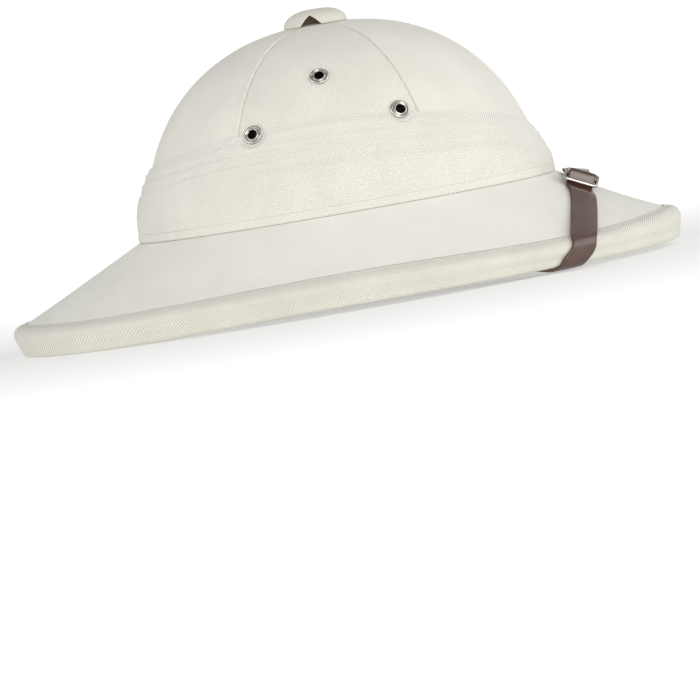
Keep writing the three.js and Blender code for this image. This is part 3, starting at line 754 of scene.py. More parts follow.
class Recipe:
    """A node material while it is being made, with the few patterns that the finishes share."""

    def __init__(self, name: str) -> None:
        """Start with a principled shader joined to the output."""
        self.material = bpy.data.materials.new(name)
        self.material.use_nodes = True
        self.tree = self.material.node_tree
        self.tree.nodes.clear()
        self.shader = add_node(self.tree, "ShaderNodeBsdfPrincipled")
        add_node(self.tree, "ShaderNodeOutputMaterial", {"Surface": self.shader.outputs["BSDF"]})

    def place(self, on_cloth: bool = False) -> Socket:
        """Where a point lies: in metres on its object, or in millimetres on the flat cloth."""
        if on_cloth:
            return add_node(self.tree, "ShaderNodeUVMap", uv_map=CLOTH_LAYER).outputs["UV"]
        return add_node(self.tree, "ShaderNodeTexCoord").outputs["Object"]

    def noise(self, place: Socket, scale: float, flat: bool = False, **inputs: float) -> Socket:
        """An uneven pattern.

        Args:
            place: Where each point lies.
            scale: How many patches lie in one unit of the place.
            flat: Whether the place is on the flat cloth.
            inputs: The texture's other inputs.

        Returns:
            Its strength, from 0 to 1.
        """
        return add_node(self.tree, "ShaderNodeTexNoise", {"Vector": place, "Scale": scale, **inputs},
                        noise_dimensions="2D" if flat else "3D").outputs["Fac"]

    def waves(self, place: Socket, pitch: float, direction: str,
              inputs: dict[str, float] | None = None) -> Socket:
        """A pattern of parallel bands.

        Args:
            place: Where each point lies.
            pitch: Distance between bands, in the place's unit.
            direction: The axis across the bands.
            inputs: The texture's other inputs.

        Returns:
            Its strength, from 0 to 1.
        """
        scale = math.pi / (10 * pitch)  # the texture's scale for one band each pitch
        return add_node(self.tree, "ShaderNodeTexWave", {"Vector": place, "Scale": scale, **(inputs or {})},
                        bands_direction=direction).outputs["Fac"]

    def remap(self, value: Socket, source: tuple[float, float],
              target: tuple[float, float] = (0.0, 1.0)) -> Socket:
        """Bring a value from one range into another."""
        return add_node(self.tree, "ShaderNodeMapRange", {
            "Value": value, "From Min": source[0], "From Max": source[1], "To Min": target[0],
            "To Max": target[1]}).outputs[0]

    def calculate(self, operation: str, *values: Any) -> Socket:
        """Do one calculation with values or sockets."""
        return add_node(self.tree, "ShaderNodeMath", dict(enumerate(values)), operation=operation).outputs[0]

    def mix(self, share: Socket, first: str, second: str) -> Socket:
        """Blend two sRGB hex colours, by a share of the second one from 0 to 1."""
        # A colour mix has its factor, first and second colour at sockets 0, 6 and 7, and its result at 2.
        return add_node(self.tree, "ShaderNodeMix", {0: share, 6: linear(first), 7: linear(second)},
                        data_type="RGBA").outputs[2]

    def feed(self, socket: str, source: Socket) -> None:
        """Let a pattern drive one of the shader's sockets."""
        self.tree.links.new(source, self.shader.inputs[socket])

    def relief(self, height: Socket, depth: float, strength: float) -> None:
        """Let a pattern stand out of the surface, by a depth in millimetres."""
        bump = add_node(self.tree, "ShaderNodeBump", {"Height": height, "Distance": depth * MM,
                                                      "Strength": strength})
        self.feed("Normal", bump.outputs["Normal"])

    def finished(self, constants: dict[str, Any]) -> bpy.types.Material:
        """Set the shader's constants and give the material."""
        for socket, value in constants.items():
            self.shader.inputs[socket].default_value = value
        return self.material


@dataclass(frozen=True)
class CottonDrill:
    """Bleached cotton drill, a close twill woven of fine yarn: matt, with fine slanting ribs.

    Args:
        name: The material's name.
        colour: The cloth's colour on the ribs.
        valley: Its colour between the ribs, darker than the ribs' colour: painted shade in the valleys; the
            two average to the cloth's own tone.
        slant: How the ribs lie to the cloth's first coordinate, in degrees.
        rib_pitch: Distance between ribs, in millimetres; drill has 8 to 10 ribs a centimetre.
        yarn_pitch: Distance between the yarns that cross the ribs, in millimetres.
        rib_depth: How deep the valleys are, in millimetres.
        mottle: How strongly the bleached cloth varies in tone over a few centimetres.
    """

    name: str
    colour: str
    valley: str
    slant: float
    rib_pitch: float = 1.05
    yarn_pitch: float = 0.55
    rib_depth: float = 0.13
    mottle: float = 0.05

    def build(self) -> bpy.types.Material:
        """Make the node material."""
        recipe = Recipe(self.name)
        place = recipe.place(on_cloth=True)
        strength = add_node(recipe.tree, "ShaderNodeAttribute", attribute_name=RIBS_LAYER).outputs["Fac"]
        turned = add_node(recipe.tree, "ShaderNodeVectorRotate", {
            "Vector": place, "Angle": math.radians(-self.slant)}, rotation_type="Z_AXIS").outputs["Vector"]
        ribs = recipe.waves(turned, self.rib_pitch, "Y",
                            {"Distortion": 0.7, "Detail": 2.0, "Detail Scale": 0.7})
        yarns = recipe.waves(turned, self.yarn_pitch, "X",
                             {"Distortion": 2.0, "Detail": 1.0, "Detail Scale": 1.2})
        # Slubs: yarn that is thicker for a few millimetres, which breaks the ribs up.
        slub = recipe.noise(turned, 0.45, True, Detail=3.0)
        shown = recipe.calculate("MULTIPLY", strength, recipe.remap(slub, (0.3, 0.6), (0.7, 1.0)))
        # Pressed cloth keeps the mean tone of its ribs and valleys; the darker valley colour paints shade
        # between the ribs.
        valleys = recipe.calculate("SUBTRACT", 0.5, ribs)
        between = recipe.calculate("MULTIPLY_ADD", valleys, shown, 0.5)
        cloth = recipe.mix(between, self.colour, self.valley)
        broad = recipe.noise(place, 0.035, True, Detail=4.0, Roughness=0.6)
        tone = recipe.remap(broad, (0.3, 0.7), (1.0 - self.mottle, 1.0 + self.mottle))
        toned = add_node(recipe.tree, "ShaderNodeVectorMath", {0: cloth, "Scale": tone}, operation="SCALE")
        recipe.feed("Base Color", toned.outputs["Vector"])
        woven = recipe.calculate("MULTIPLY_ADD", yarns, 0.35, ribs)
        fuzz = recipe.noise(place, 2.2, True, Detail=3.0)
        height = recipe.calculate("MULTIPLY_ADD", fuzz, 0.5, recipe.calculate("MULTIPLY", woven, shown))
        recipe.relief(height, self.rib_depth, 0.8)
        return recipe.finished({"Roughness": 0.92, "Specular IOR Level": 0.22, "Sheen Weight": 0.12,
                                "Sheen Roughness": 0.6})


@dataclass(frozen=True)
class CottonThread:
    """Spun cotton sewing thread: matt and slightly hairy, with a tight diagonal twist."""

    name: str = "spun_cotton_thread"
    colour: str = "#e9e7dd"
    twist_pitch: float = 0.5  # drawn coarser than a thread's real 0.3 mm twist, so that it shows
    twist_depth: float = 0.05

    def build(self) -> bpy.types.Material:
        """Make the node material."""
        recipe = Recipe(self.name)
        place = recipe.place()
        recipe.relief(recipe.waves(place, self.twist_pitch * MM, "DIAGONAL"), self.twist_depth, 0.7)
        hairs = recipe.noise(place, 900.0)
        recipe.feed("Roughness", recipe.remap(hairs, (0.0, 1.0), (0.75, 0.95)))
        return recipe.finished({"Base Color": linear(self.colour)})


@dataclass(frozen=True)
class GlazedLeather:
    """Chrome-tanned cowhide with a glazed brown finish: a soft sheen over a fine, even grain.

    Args:
        name: The material's name.
        colour: The finish where it is thick.
        worn: Its lighter colour where the strap has been bent and rubbed.
        roughness: Of the glaze.
        grain_size: Of the pebbles of the grain, in millimetres.
        grain_depth: In millimetres.
    """

    name: str = "glazed_brown_cowhide"
    colour: str = "#482e25"
    worn: str = "#5e4035"
    roughness: float = 0.28
    grain_size: float = 0.7
    grain_depth: float = 0.035

    def build(self) -> bpy.types.Material:
        """Make the node material."""
        recipe = Recipe(self.name)
        place = recipe.place(on_cloth=True)
        pebbles = add_node(recipe.tree, "ShaderNodeTexVoronoi", {
            "Vector": place, "Scale": 1 / self.grain_size}, feature="SMOOTH_F1",
            voronoi_dimensions="2D").outputs["Distance"]
        rub = recipe.noise(place, 0.08, True, Detail=5.0, Roughness=0.6)
        recipe.feed("Base Color", recipe.mix(recipe.remap(rub, (0.35, 0.75)), self.colour, self.worn))
        recipe.feed("Roughness", recipe.remap(rub, (0.3, 0.7), (self.roughness, self.roughness + 0.1)))
        # Creases run across the strap, where it has been bent over the brim.
        stretched = add_node(recipe.tree, "ShaderNodeVectorMath", {0: place, 1: (0.5, 0.06, 1.0)},
                             operation="MULTIPLY").outputs[0]
        creases = recipe.noise(stretched, 1.0, True, Detail=3.0)
        recipe.relief(recipe.calculate("MULTIPLY_ADD", creases, 2.0, pebbles), self.grain_depth, 0.9)
        return recipe.finished({"IOR": 1.6, "Coat Weight": 0.5, "Coat Roughness": 0.16})


@dataclass(frozen=True)
class CutLeatherEdge:
    """The raw cut edge of the strap: reddish, fibrous and matt, because the glaze doesn't reach it."""

    name: str = "raw_cowhide_edge"
    colour: str = "#7a4a40"
    fibre: str = "#4a2c27"
    fibre_depth: float = 0.12

    def build(self) -> bpy.types.Material:
        """Make the node material."""
        recipe = Recipe(self.name)
        fibres = recipe.noise(recipe.place(), 1100.0, Detail=4.0)
        recipe.feed("Base Color", recipe.mix(fibres, self.colour, self.fibre))
        recipe.relief(fibres, self.fibre_depth, 0.8)
        return recipe.finished({"Roughness": 0.8})


@dataclass(frozen=True)
class PlatedNickel:
    """Pressed brass plated with bright nickel: a warm grey mirror with fine scratches and a dull film."""

    name: str = "bright_plated_nickel"
    colour: str = "#cbc8c2"
    film: str = "#9d9a94"
    roughness: float = 0.16
    scratch_depth: float = 0.01

    def build(self) -> bpy.types.Material:
        """Make the node material."""
        recipe = Recipe(self.name)
        place = recipe.place()
        film = recipe.noise(place, 260.0, Detail=5.0)
        recipe.feed("Base Color", recipe.mix(recipe.remap(film, (0.45, 0.75)), self.colour, self.film))
        recipe.feed("Roughness", recipe.remap(film, (0.3, 0.8), (self.roughness, self.roughness + 0.16)))
        recipe.relief(recipe.noise(place, 1500.0, Distortion=2.0), self.scratch_depth, 0.4)
        return recipe.finished({"Metallic": 1.0})


@dataclass(frozen=True)
class PressedCork:
    """Pressed cork board, the helmet's raw inner wall: matt, brown and pitted."""

    name: str = "pressed_cork_board"
    colour: str = "#6f573f"
    grain: str = "#4d3a2a"
    grain_size: float = 3.0
    pit_depth: float = 0.3

    def build(self) -> bpy.types.Material:
        """Make the node material."""
        recipe = Recipe(self.name)
        grains = add_node(recipe.tree, "ShaderNodeTexVoronoi", {"Vector": recipe.place(),
                                                                "Scale": 1 / (self.grain_size * MM)})
        parts = add_node(recipe.tree, "ShaderNodeSeparateXYZ", {"Vector": grains.outputs["Color"]})
        tone = parts.outputs["X"]
        recipe.feed("Base Color", recipe.mix(tone, self.colour, self.grain))
        recipe.relief(grains.outputs["Distance"], self.pit_depth, 0.6)
        return recipe.finished({"Roughness": 0.95})


class Finish(Enum):
    """Every finish on the helmet."""

    # In each drill the second colour is painted shade in the valleys between its ribs.
    # The crown's gores are cut so that the ribs fall steeply to the rear.
    CROWN = CottonDrill("bleached_drill_of_the_crown", "#f5f3eb", "#c9c6bb", slant=-62.0, mottle=0.03)
    BRIM = CottonDrill("bleached_drill_of_the_brim", "#f0efe8", "#e2e0d7", slant=40.0, mottle=0.025)
    # The binding is cut across the ribs so that it stretches round the edge.
    BINDING = CottonDrill("bias_cut_drill_binding", "#f1f0e7", "#c6c2b5", slant=27.0, rib_depth=0.16,
                          mottle=0.03)
    PUGGAREE = CottonDrill("pleated_drill_of_the_puggaree", "#f1f0e8", "#cecbc0", slant=27.0, mottle=0.025)
    # The dome of the cap is pressed from one round of cloth, drawn tight.
    CAP = CottonDrill("stretched_drill_of_the_cap", "#e9e7de", "#c4c0b3", slant=40.0)
    # Inside the cap, the unbleached cloth's own colour is set paler to stand in for light in the barely lit
    # mouth: partly painted light.
    CAP_INSIDE = CottonDrill("unbleached_drill_with_painted_light_inside_the_cap", "#f3e4d8", "#e2cfc0", slant=40.0)
    THREAD = CottonThread()
    CORK = PressedCork()
    LEATHER = GlazedLeather()
    LEATHER_EDGE = CutLeatherEdge()
    NICKEL = PlatedNickel()
    # Inside their bores the eyelets are painted near-black: painted shade in the hollow bore.
    SHADED_BORE = PlatedNickel("nickel_painted_dark_as_bore_shade", "#2b2926", "#191816", 0.6)


class Wardrobe:
    """The materials, each made once when a piece first asks for it."""

    def __init__(self) -> None:
        """Start with no material made."""
        self.made: dict[Finish, bpy.types.Material] = {}

    def dress(self, obj: Piece, *finishes: Finish) -> None:
        """Give an object its finishes, in the order of its material slots."""
        obj.data.materials.clear()
        for finish in finishes:
            if finish not in self.made:
                self.made[finish] = finish.value.build()
            obj.data.materials.append(self.made[finish])


@dataclass
class Maker:
    """What every sub-assembly is made with: the helmet's form and its materials."""

    form: HelmetForm
    wardrobe: Wardrobe


# ---------------------------------------------------------------- crown


@dataclass
class Crown(Maker):
    """The cloth-covered dome: six gores, a welt beside each seam, and holes for the eyelets and the vent."""

    seam_step: float = 60.0
    panel_columns: int = 46
    outer_rows: int = 118
    inner_rows: int = 26
    welt_width: float = 2.3
    welt_rise: float = 0.46
    groove_depth: float = 0.8
    groove_width: float = 0.42
    seam_pull: float = 0.25  # each seam draws the cloth down beside it
    seam_pull_reach: float = 7.0
    wave_rise: float = 0.22
    pressed_ribs: float = 0.22  # the gores in front and behind are drawn so tight that their ribs lie flat
    crease_turn: float = -157.0  # a short pressed crease low on the rear gore of the right side
    crease_heights: tuple[float, float] = (42.0, 58.0)
    crease_fade: float = 3.0
    crease_depth: float = 0.22
    crease_width: float = 0.5

    def columns(self) -> Array:
        """Turns of the columns, close together beside each seam."""
        beside = np.array([0.02, 0.25, 0.5, 0.8, 1.15, 1.6]) * 0.55
        spread = np.linspace(beside[-1], self.seam_step - beside[-1], self.panel_columns)
        panel = np.concatenate([beside[:-1], spread, self.seam_step - beside[:-1][::-1]])
        return np.concatenate([panel + self.seam_step * number for number in range(6)])

    def rows(self, count: int, lowest: float) -> Array:
        """Heights of the rows over the foot, evenly spaced along the dome up to the vent."""
        hole = self.form.vent_hole_radius / self.form.crown_half_length
        first = math.asin(lowest / self.form.crown_rise)
        last = math.acos(hole ** (self.form.crown_fullness / 2))
        return self.form.crown_rise * np.sin(np.linspace(first, last, count))

    def relief(self, turn: Array, height: Array) -> Array:
        """How far the cloth stands over the bare dome: the seams' welts and grooves, and slow waves.

        Args:
            turn: Turns from the front.
            height: Heights over its foot.

        Returns:
            How far out, in millimetres.
        """
        angle = np.radians(turn)
        form = self.form
        spread = np.hypot(form.crown_half_length * np.sin(angle), form.crown_half_width * np.cos(angle))
        per_degree = spread * self.form.crown_share(height) * math.pi / 180
        seam = np.round(turn / self.seam_step) * self.seam_step
        # The welt lies on the side of the seam away from the side gores.
        toward = np.where(np.isin(seam % 360, (60.0, 240.0)), -1.0, 1.0)
        distance = (turn - seam) * per_degree * toward
        welt = ease(distance, -0.05, 0.35) * (1 - ease(distance, 0.6 * self.welt_width, self.welt_width))
        groove = np.exp(-(((distance + 0.12) / self.groove_width) ** 2))
        tight = 1 - ease(height, 0.94 * self.form.crown_rise, 0.99 * self.form.crown_rise)
        pull = self.seam_pull * np.exp(-((distance / self.seam_pull_reach) ** 2))
        waves = self.wave_rise * unevenness(turn, height, 1.3)
        low, high = self.crease_heights
        span = ease(height, low, low + self.crease_fade) * (1 - ease(height, high - self.crease_fade, high))
        crease_at = sides(turn - self.crease_turn) * per_degree
        crease = self.crease_depth * np.exp(-((crease_at / self.crease_width) ** 2)) * span
        return tight * (self.welt_rise * welt - self.groove_depth * groove - pull + waves) - crease

    def skin(self) -> Skin:
        """The whole shell, outside and inside."""
        turn = self.columns()
        outer = self.rows(self.outer_rows, self.form.gap)
        inner = self.rows(self.inner_rows, self.form.gap)[::-1]
        outside = self.form.over_crown(turn[None], outer[:, None], self.relief(turn[None], outer[:, None]))
        inside = self.form.over_crown(turn[None], inner[:, None], -self.form.crown_wall)
        points = np.concatenate([outside, inside])
        heights = np.concatenate([outer, inner])
        middle = np.floor(turn / self.seam_step) * self.seam_step + self.seam_step / 2
        angle = np.radians(middle)
        form = self.form
        spread = np.hypot(form.crown_half_length * np.sin(angle), form.crown_half_width * np.cos(angle))
        share = self.form.crown_share(heights)[:, None]
        around = np.radians(turn - middle) * spread * share
        climb = closed_lengths(points)
        cloth = past_closing(np.stack([around, np.broadcast_to(climb[:-1, None], around.shape)], -1))
        on_side = np.isin(middle % 180, (90.0,))
        ribs = np.broadcast_to(np.where(on_side, 1.0, self.pressed_ribs), around.shape)
        return Skin(points, cloth, ribs)

    def build(self, eyelets: "Eyelets") -> Piece:
        """Build the crown and drill its eyelet holes.

        Args:
            eyelets: The eyelets that stand in the holes.

        Returns:
            The crown's object.
        """
        obj = self.skin().build("crown_shell", "drill_crown", self.form)
        cut(obj, eyelets.drills())
        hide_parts("crown")
        self.wardrobe.dress(obj, Finish.CROWN, Finish.CORK)
        self.mark_inside(obj)
        return obj

    def mark_inside(self, obj: Piece) -> None:
        """Give the bare board's finish to the faces that look into the dome."""
        middle = Vector((-self.form.rim_middle, 0.0, self.form.junction_height)) * MM
        for polygon in obj.data.polygons:
            polygon.material_index = int(polygon.normal.dot((polygon.center - middle).normalized()) < -0.3)


# ---------------------------------------------------------------- brim


@dataclass
class Brim(Maker):
    """The brim's smooth cloth-covered board."""

    columns: int = 420
    smooth_ribs: float = 0.3  # the brim's cloth is pasted down, so its ribs hardly show

    def build(self) -> Piece:
        """Build the board: top, edge, underside and the joint with the crown."""
        form = self.form
        turn = turns_round(self.columns)
        run = form.rim_plane(turn)[2] - form.binding_stand
        parts = np.linspace(0.0, 1.0, 58)
        lower, _ = form.edge_lines(turn)
        top = []
        for part in parts:
            along = part * run
            free = ease(part, 0.0, 0.15) * (1 - ease(part, 0.75, 0.9))
            buckle = 0.1 * unevenness(turn, 70.0 * part, 4.1) * free
            top.append(form.in_plane(turn, along, form.brim_top(turn, along) + buckle))
        low_end = form.in_plane(turn, lower - form.binding_stand, form.rim_floor(turn) + form.binding_stand)
        edge = refined(np.array([top[-1], low_end]), 3.0)[1:]
        under = np.array([form.brim_under(turn, part) for part in np.linspace(0.0, 1.0, 26)])
        root = refined(np.array([under[-1], form.brim_root(turn, form.junction_height), top[0]]), 3.0)[1:-1]
        points = np.concatenate([np.array(top), edge, under, root])
        skin = Skin(points, past_closing(points[..., :2]), self.smooth_ribs)
        obj = skin.build("brim_board", "drill_brim", form)
        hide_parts("brim")
        self.wardrobe.dress(obj, Finish.BRIM)
        return obj


@dataclass
class Binding(Maker):
    """The strip of bias-cut drill folded round the brim's edge and sewn through."""

    columns: int = 720
    stitch_pitch: float = 3.0
    stitch_length: float = 2.35
    thread_radius: float = 0.24
    thread_rings: int = 7
    thread_sides: int = 6
    stitch_from_edge: float = 1.6
    lip_drop: float = 1.15
    lip_reach: float = 6.0
    swell: float = 0.7         # how far the soft edge swells out over the straight line of its section
    # How far from each corner of its section its rounding starts, along the sides and at the two ends.
    roundings: tuple[tuple[float, float], ...] = ((4.4, 6.2), (0.9, 1.1), (2.2, 2.4), (1.5, 1.5))

    def outline(self, turn: Array) -> Array:
        """The outer face as a smooth outline, from the top flange round to the lower one."""
        top, above, _, bend, low, below, flat, under = self.form.binding_corners(turn)
        # Each bevel of the edge becomes one full rounding about the corner that it cuts off.
        upper = above + unit(above - top) * (self.form.edge_round + self.swell)
        lower = low + (below - low) * np.array([0.0, 0.0, 1.0])
        # The edge is a fuller roll at the helmet's two ends than along its sides.
        end = 1 - ease(np.minimum(sides(turn), 180 - sides(turn)), 12.0, 48.0)
        radii = [side_radius + (end_radius - side_radius) * end for side_radius, end_radius in self.roundings]
        return refined(rounded(np.array([top, upper, bend, lower, flat, under]), radii, 9), 1.1)

    def build(self) -> list[Piece]:
        """Build the binding and its two rows of stitches."""
        form = self.form
        turn = turns_round(self.columns)
        outer = self.outline(turn)
        steps = np.linalg.norm(np.diff(outer, axis=0), axis=-1)
        reach = np.concatenate([np.zeros((1, len(turn))), np.cumsum(steps, 0)])
        total = reach[-1]
        normal = self.normals(outer)
        from_edge = np.minimum(reach, total - reach)
        ring = closed_lengths(outer[0])
        arc = ring[:-1]
        # Each stitch pulls the cloth down; between stitches it puckers up a little.
        beat = np.cos(2 * math.pi * arc / self.stitch_pitch)
        seam = np.exp(-(((from_edge - self.stitch_from_edge) / 0.7) ** 2))
        pucker = 0.1 * beat * np.exp(-(((from_edge - self.stitch_from_edge) / 2.2) ** 2))
        # Towards its edges the cloth is drawn down on the board, so that only its own thickness shows.
        lip = self.lip_drop * (1 - ease(from_edge, -1.0, self.lip_reach))
        waves = 0.1 * unevenness(turn, reach * 3.0, 7.7)
        drop = 0.26 * seam + lip - pucker - waves
        face = outer - normal * np.maximum(drop, -0.1)[..., None]
        rests = outer[..., 2] < form.rim_floor(turn) + 0.6
        face = np.where(rests[..., None], outer, face)
        # Its inner face is pasted to the board.
        inner = (outer - normal * (form.binding_thickness + form.gap + 0.1))[::-1]
        points = np.concatenate([face, inner])
        across = closed_lengths(points)
        cloth = closed_cloth(ring, -across)
        obj = Skin(points, cloth, 1.0).build("brim_binding_strip", "drill_binding", form)
        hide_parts("brim_binding")
        self.wardrobe.dress(obj, Finish.BINDING)
        rows = [self.stitches("binding_stitches_top", outer, normal, arc, False),
                self.stitches("binding_stitches_under", outer, normal, arc, True)]
        return [obj, *rows]

    def normals(self, outer: Array) -> Array:
        """Directions straight out of the bound edge."""
        along = np.gradient(outer, axis=0)
        around = np.roll(outer, -1, 1) - np.roll(outer, 1, 1)
        normal = unit(np.cross(around, along))
        centre = outer.mean(axis=(0, 1))
        outward = np.einsum("ijk,ijk->ij", normal, outer - centre).sum()
        return normal if outward > 0 else -normal

    def stitches(self, name: str, outer: Array, normal: Array, arc: Array,
                 under: bool) -> Piece:
        """One row of short threads all round the brim, whose ends dive into the cloth.

        Args:
            name: The object's name.
            outer: The outer face's outline by turn.
            normal: Its outward directions.
            arc: The distance along the rim of each turn.
            under: Whether the row is on the lower flange.

        Returns:
            The row of stitches, as one mesh.
        """
        lines, outs = (outer[::-1], normal[::-1]) if under else (outer, normal)
        reach = np.linalg.norm(np.diff(lines, axis=0), axis=-1).mean(1).cumsum()
        row = int(np.searchsorted(reach, self.stitch_from_edge)) + 1
        line, out = lines[row], outs[row]
        length = arc[-1] + np.linalg.norm(line[0] - line[-1])
        at = np.append(arc, length)
        count = int(round(length / self.stitch_pitch))
        share = np.linspace(0.0, 1.0, self.thread_rings)
        places = (np.arange(count)[:, None] * (length / count) + share[None] * self.stitch_length).ravel()

        def along(values: Array, ahead: float = 0.0) -> Array:
            """The values a little ahead of each place on the row."""
            closed = np.concatenate([values, values[:1]])
            return np.stack([np.interp(places + ahead, at, column) for column in closed.T], -1)

        up = unit(along(out))
        side = unit(np.cross(up, unit(along(line, 0.2) - along(line, -0.2))))
        sunk = self.lip_drop * (1 - float(ease(self.stitch_from_edge, -1.0, self.lip_reach))) + 0.24
        radius, arch = self.thread_radius, np.sin(math.pi * share) ** 0.5
        dive = np.tile(0.55 * radius * (1 - arch) * 2.2, count)
        thick = np.tile(radius * (0.55 + 0.45 * arch), count)[:, None]
        centre = along(line) + up * (0.45 * radius - sunk + 0.1 - dive)[:, None]
        angle = angles_round(self.thread_sides)
        points = (centre[:, None] + side[:, None] * (thick * np.cos(angle))[..., None]
                  + up[:, None] * (0.8 * thick * np.sin(angle))[..., None])
        thread, size = tube_faces(self.thread_rings, self.thread_sides), self.thread_rings * self.thread_sides
        faces = [[base + point for point in face] for base in range(0, count * size, size) for face in thread]
        obj = add_piece(name, self.form.shift(points.reshape(-1, 3)), faces)
        self.wardrobe.dress(obj, Finish.THREAD)
        return obj


# ---------------------------------------------------------------- puggaree


@dataclass(frozen=True)
class Fold:
    """One fold of the puggaree: its name, upper edge, where its tail ends and how far it stands out."""

    name: str
    node: str
    upper: tuple[float, ...]
    below: tuple[float, ...]
    behind: float
    edge: float
    tail: float
    seed: float


TOP_EDGE = (27.7, 37.0, 44.6, 50.0, 47.4, 40.4, 37.5)
MID_EDGE = (24.4, 32.0, 39.2, 43.3, 42.6, 37.2, 34.3)
LOW_EDGE = (20.8, 27.2, 33.4, 37.0, 36.6, 32.2, 29.2)
BAND_EDGE = (16.5, 22.3, 28.0, 31.5, 31.2, 26.8, 23.1)


@dataclass
class Puggaree(Maker):
    """The cloth wound round the crown's foot: three folds, a broad band and a narrow foot roll."""

    columns: int = 480
    tuck: float = 2.5
    crisp_from: float = 100.0  # the folds are pressed sharp behind this turn and soft ripples before it
    crisp_to: float = 130.0
    soft_step: float = 0.16  # how much of a fold's step is left where it is soft
    soft_reach: float = 5.0  # how far down a soft fold takes to come out
    band_reach: float = 8.0  # the same for the band
    roll_height: float = 4.2
    roll_from: float = 118.0  # behind this turn the foot roll swells out from the band over it
    roll_to: float = 150.0
    hem_out: float = 6.2  # how far out the band's foot stands, and the roll where it is flush
    hem_gap: float = 0.06
    brim_gap: float = 0.12
    hem_smooth: float = 5.0  # the band's ribs are pressed flat this far up from its foot
    hem_ribs: float = 0.55
    degree_length: float = 1.75  # how long one degree is round the crown's foot
    # Soft dents in the band: turn, height, half width, half height and depth.
    dents: tuple[tuple[float, ...], ...] = (
        (-121.0, 11.5, 8.0, 3.2, 0.45), (-57.0, 10.8, 8.0, 3.0, 0.4), (62.0, 12.0, 9.0, 3.5, 0.35),
        (128.0, 10.0, 8.0, 3.0, 0.4))
    band_behind: float = 3.9  # how far out the layer behind the band lies
    # How far out the band stands, down its height.
    band_parts: tuple[float, ...] = (0.0, 0.08, 0.25, 0.55, 0.8, 1.0)
    band_stands: tuple[float, ...] = (4.9, 5.15, 5.7, 6.3, 6.3, 6.2)

    def roll_shown(self, turn: Array) -> Array:
        """0 where the foot roll is flush with the band over it and 1 where it swells out."""
        return ease(sides(turn), self.roll_from, self.roll_to)

    def crispness(self, turn: Array) -> Array:
        """1 where a fold's edge is pressed sharp, less where it is a soft ripple."""
        rear = ease(sides(turn), self.crisp_from, self.crisp_to)
        front = 0.35 * (1 - ease(sides(turn), 12.0, 40.0))
        return np.maximum(rear, front)

    def build(self, eyelets: "Eyelets") -> list[Piece]:
        """Build every fold, the band and the foot roll.

        Args:
            eyelets: The eyelets that press the upper folds down.

        Returns:
            The puggaree's pieces.
        """
        folds = [
            Fold("puggaree_top_fold", "puggaree_fold_top", TOP_EDGE, MID_EDGE, 0.0, 1.25, 1.5, 1.9),
            Fold("puggaree_middle_fold", "puggaree_fold_mid", MID_EDGE, LOW_EDGE, 1.5, 2.5, 2.7, 3.3),
            Fold("puggaree_lower_fold", "puggaree_fold_low", LOW_EDGE, BAND_EDGE, 2.7, 3.7,
                 self.band_behind, 5.2),
        ]
        pieces = [self.fold(fold, eyelets) for fold in folds]
        return [*pieces, self.band(), self.foot_roll()]

    def stand(self, turn: Array, depth: Array, behind: float, edge: Array | float, reach: float) -> Array:
        """How far a fold stands out at a depth under its upper edge: at once if crisp, slowly if soft.

        Args:
            turn: Turns from the front.
            depth: Depths under the fold's upper edge.
            behind: How far out the layer behind it lies.
            edge: How far out its own edge lies.
            reach: How far down it takes to come out where it is soft.

        Returns:
            How far out the fold lies.
        """
        left = self.soft_step + (1 - self.soft_step) * self.crispness(turn)
        slow = left + (1 - left) * ease(depth, 0.0, reach)
        return behind + (edge - behind) * slow

    def rolled_edge(self, upper: Array, start: float, outside: Array) -> tuple[Array, Array]:
        """The upper edge, where the cloth turns over.

        Args:
            upper: The edge's height by turn.
            start: How far out the cloth lies that the edge starts from.
            outside: How far out the outer face stands, row by row from the edge down.

        Returns:
            The heights and the distances out of the rows round the edge.
        """
        lip = outside[:1] - start
        bend = np.linspace(0.0, math.pi / 2, 5)[:-1, None]
        return upper - 0.45 * lip * (1 - np.sin(bend)), start + lip * (0.5 - 0.5 * np.cos(2 * bend)) * 0.85

    def fold(self, fold: Fold, eyelets: "Eyelets") -> Piece:
        """One fold that covers the tail of the one above it.

        Args:
            fold: The fold.
            eyelets: The eyelets, whose bores go through the top fold.

        Returns:
            The piece.
        """
        form = self.form
        turn = turns_round(self.columns)[None]
        upper = table_at(fold.upper, turn) + 0.25 * unevenness(turn, np.zeros_like(turn), fold.seed)
        tail = table_at(fold.below, turn) - self.tuck
        part = np.linspace(0.0, 1.0, 26)[:, None] ** 1.3
        depth = part * (upper - tail)
        stand = self.stand(turn, depth, fold.behind, fold.edge, self.soft_reach)
        stand = stand + (fold.tail - fold.edge) * part
        belly = 0.25 * np.sin(math.pi * np.clip(part / 0.8, 0, 1)) * (0.3 + 0.7 * self.crispness(turn))
        free = ease(depth, 0.3, 2.0) * (1 - ease(part, 0.7, 0.9))
        ripple = 0.16 * unevenness(turn, depth * 4, fold.seed) * free
        outside = stand + belly + ripple
        lip_height, lip_stand = self.rolled_edge(upper, fold.behind + 0.12, outside)
        heights = [lip_height, upper - depth, tail, tail]
        stands = [lip_stand, outside, outside[-1:] - 0.2, np.full_like(turn, 0.35)]
        if fold.behind > 0:
            shoulder = upper - self.tuck - form.gap
            heights += [shoulder, shoulder]
            stands += [np.full_like(turn, 0.35), np.full_like(turn, fold.behind + 0.1)]
        height = np.concatenate([np.broadcast_to(h, (h.shape[0], turn.shape[1])) for h in heights])
        distance = np.concatenate([np.broadcast_to(s, (s.shape[0], turn.shape[1])) for s in stands])
        points = form.over_crown(turn, height, distance)
        press = eyelets.press(points)
        low = 0.06 + 0.06 * (distance > fold.behind + 0.3) + 0.03 * (fold.behind > 0)
        points = form.over_crown(turn, height, distance * (1 - press) + low * press)
        obj = self.finish(fold.name, fold.node, points)
        if fold.behind == 0:
            cut(obj, eyelets.drills())
        return obj

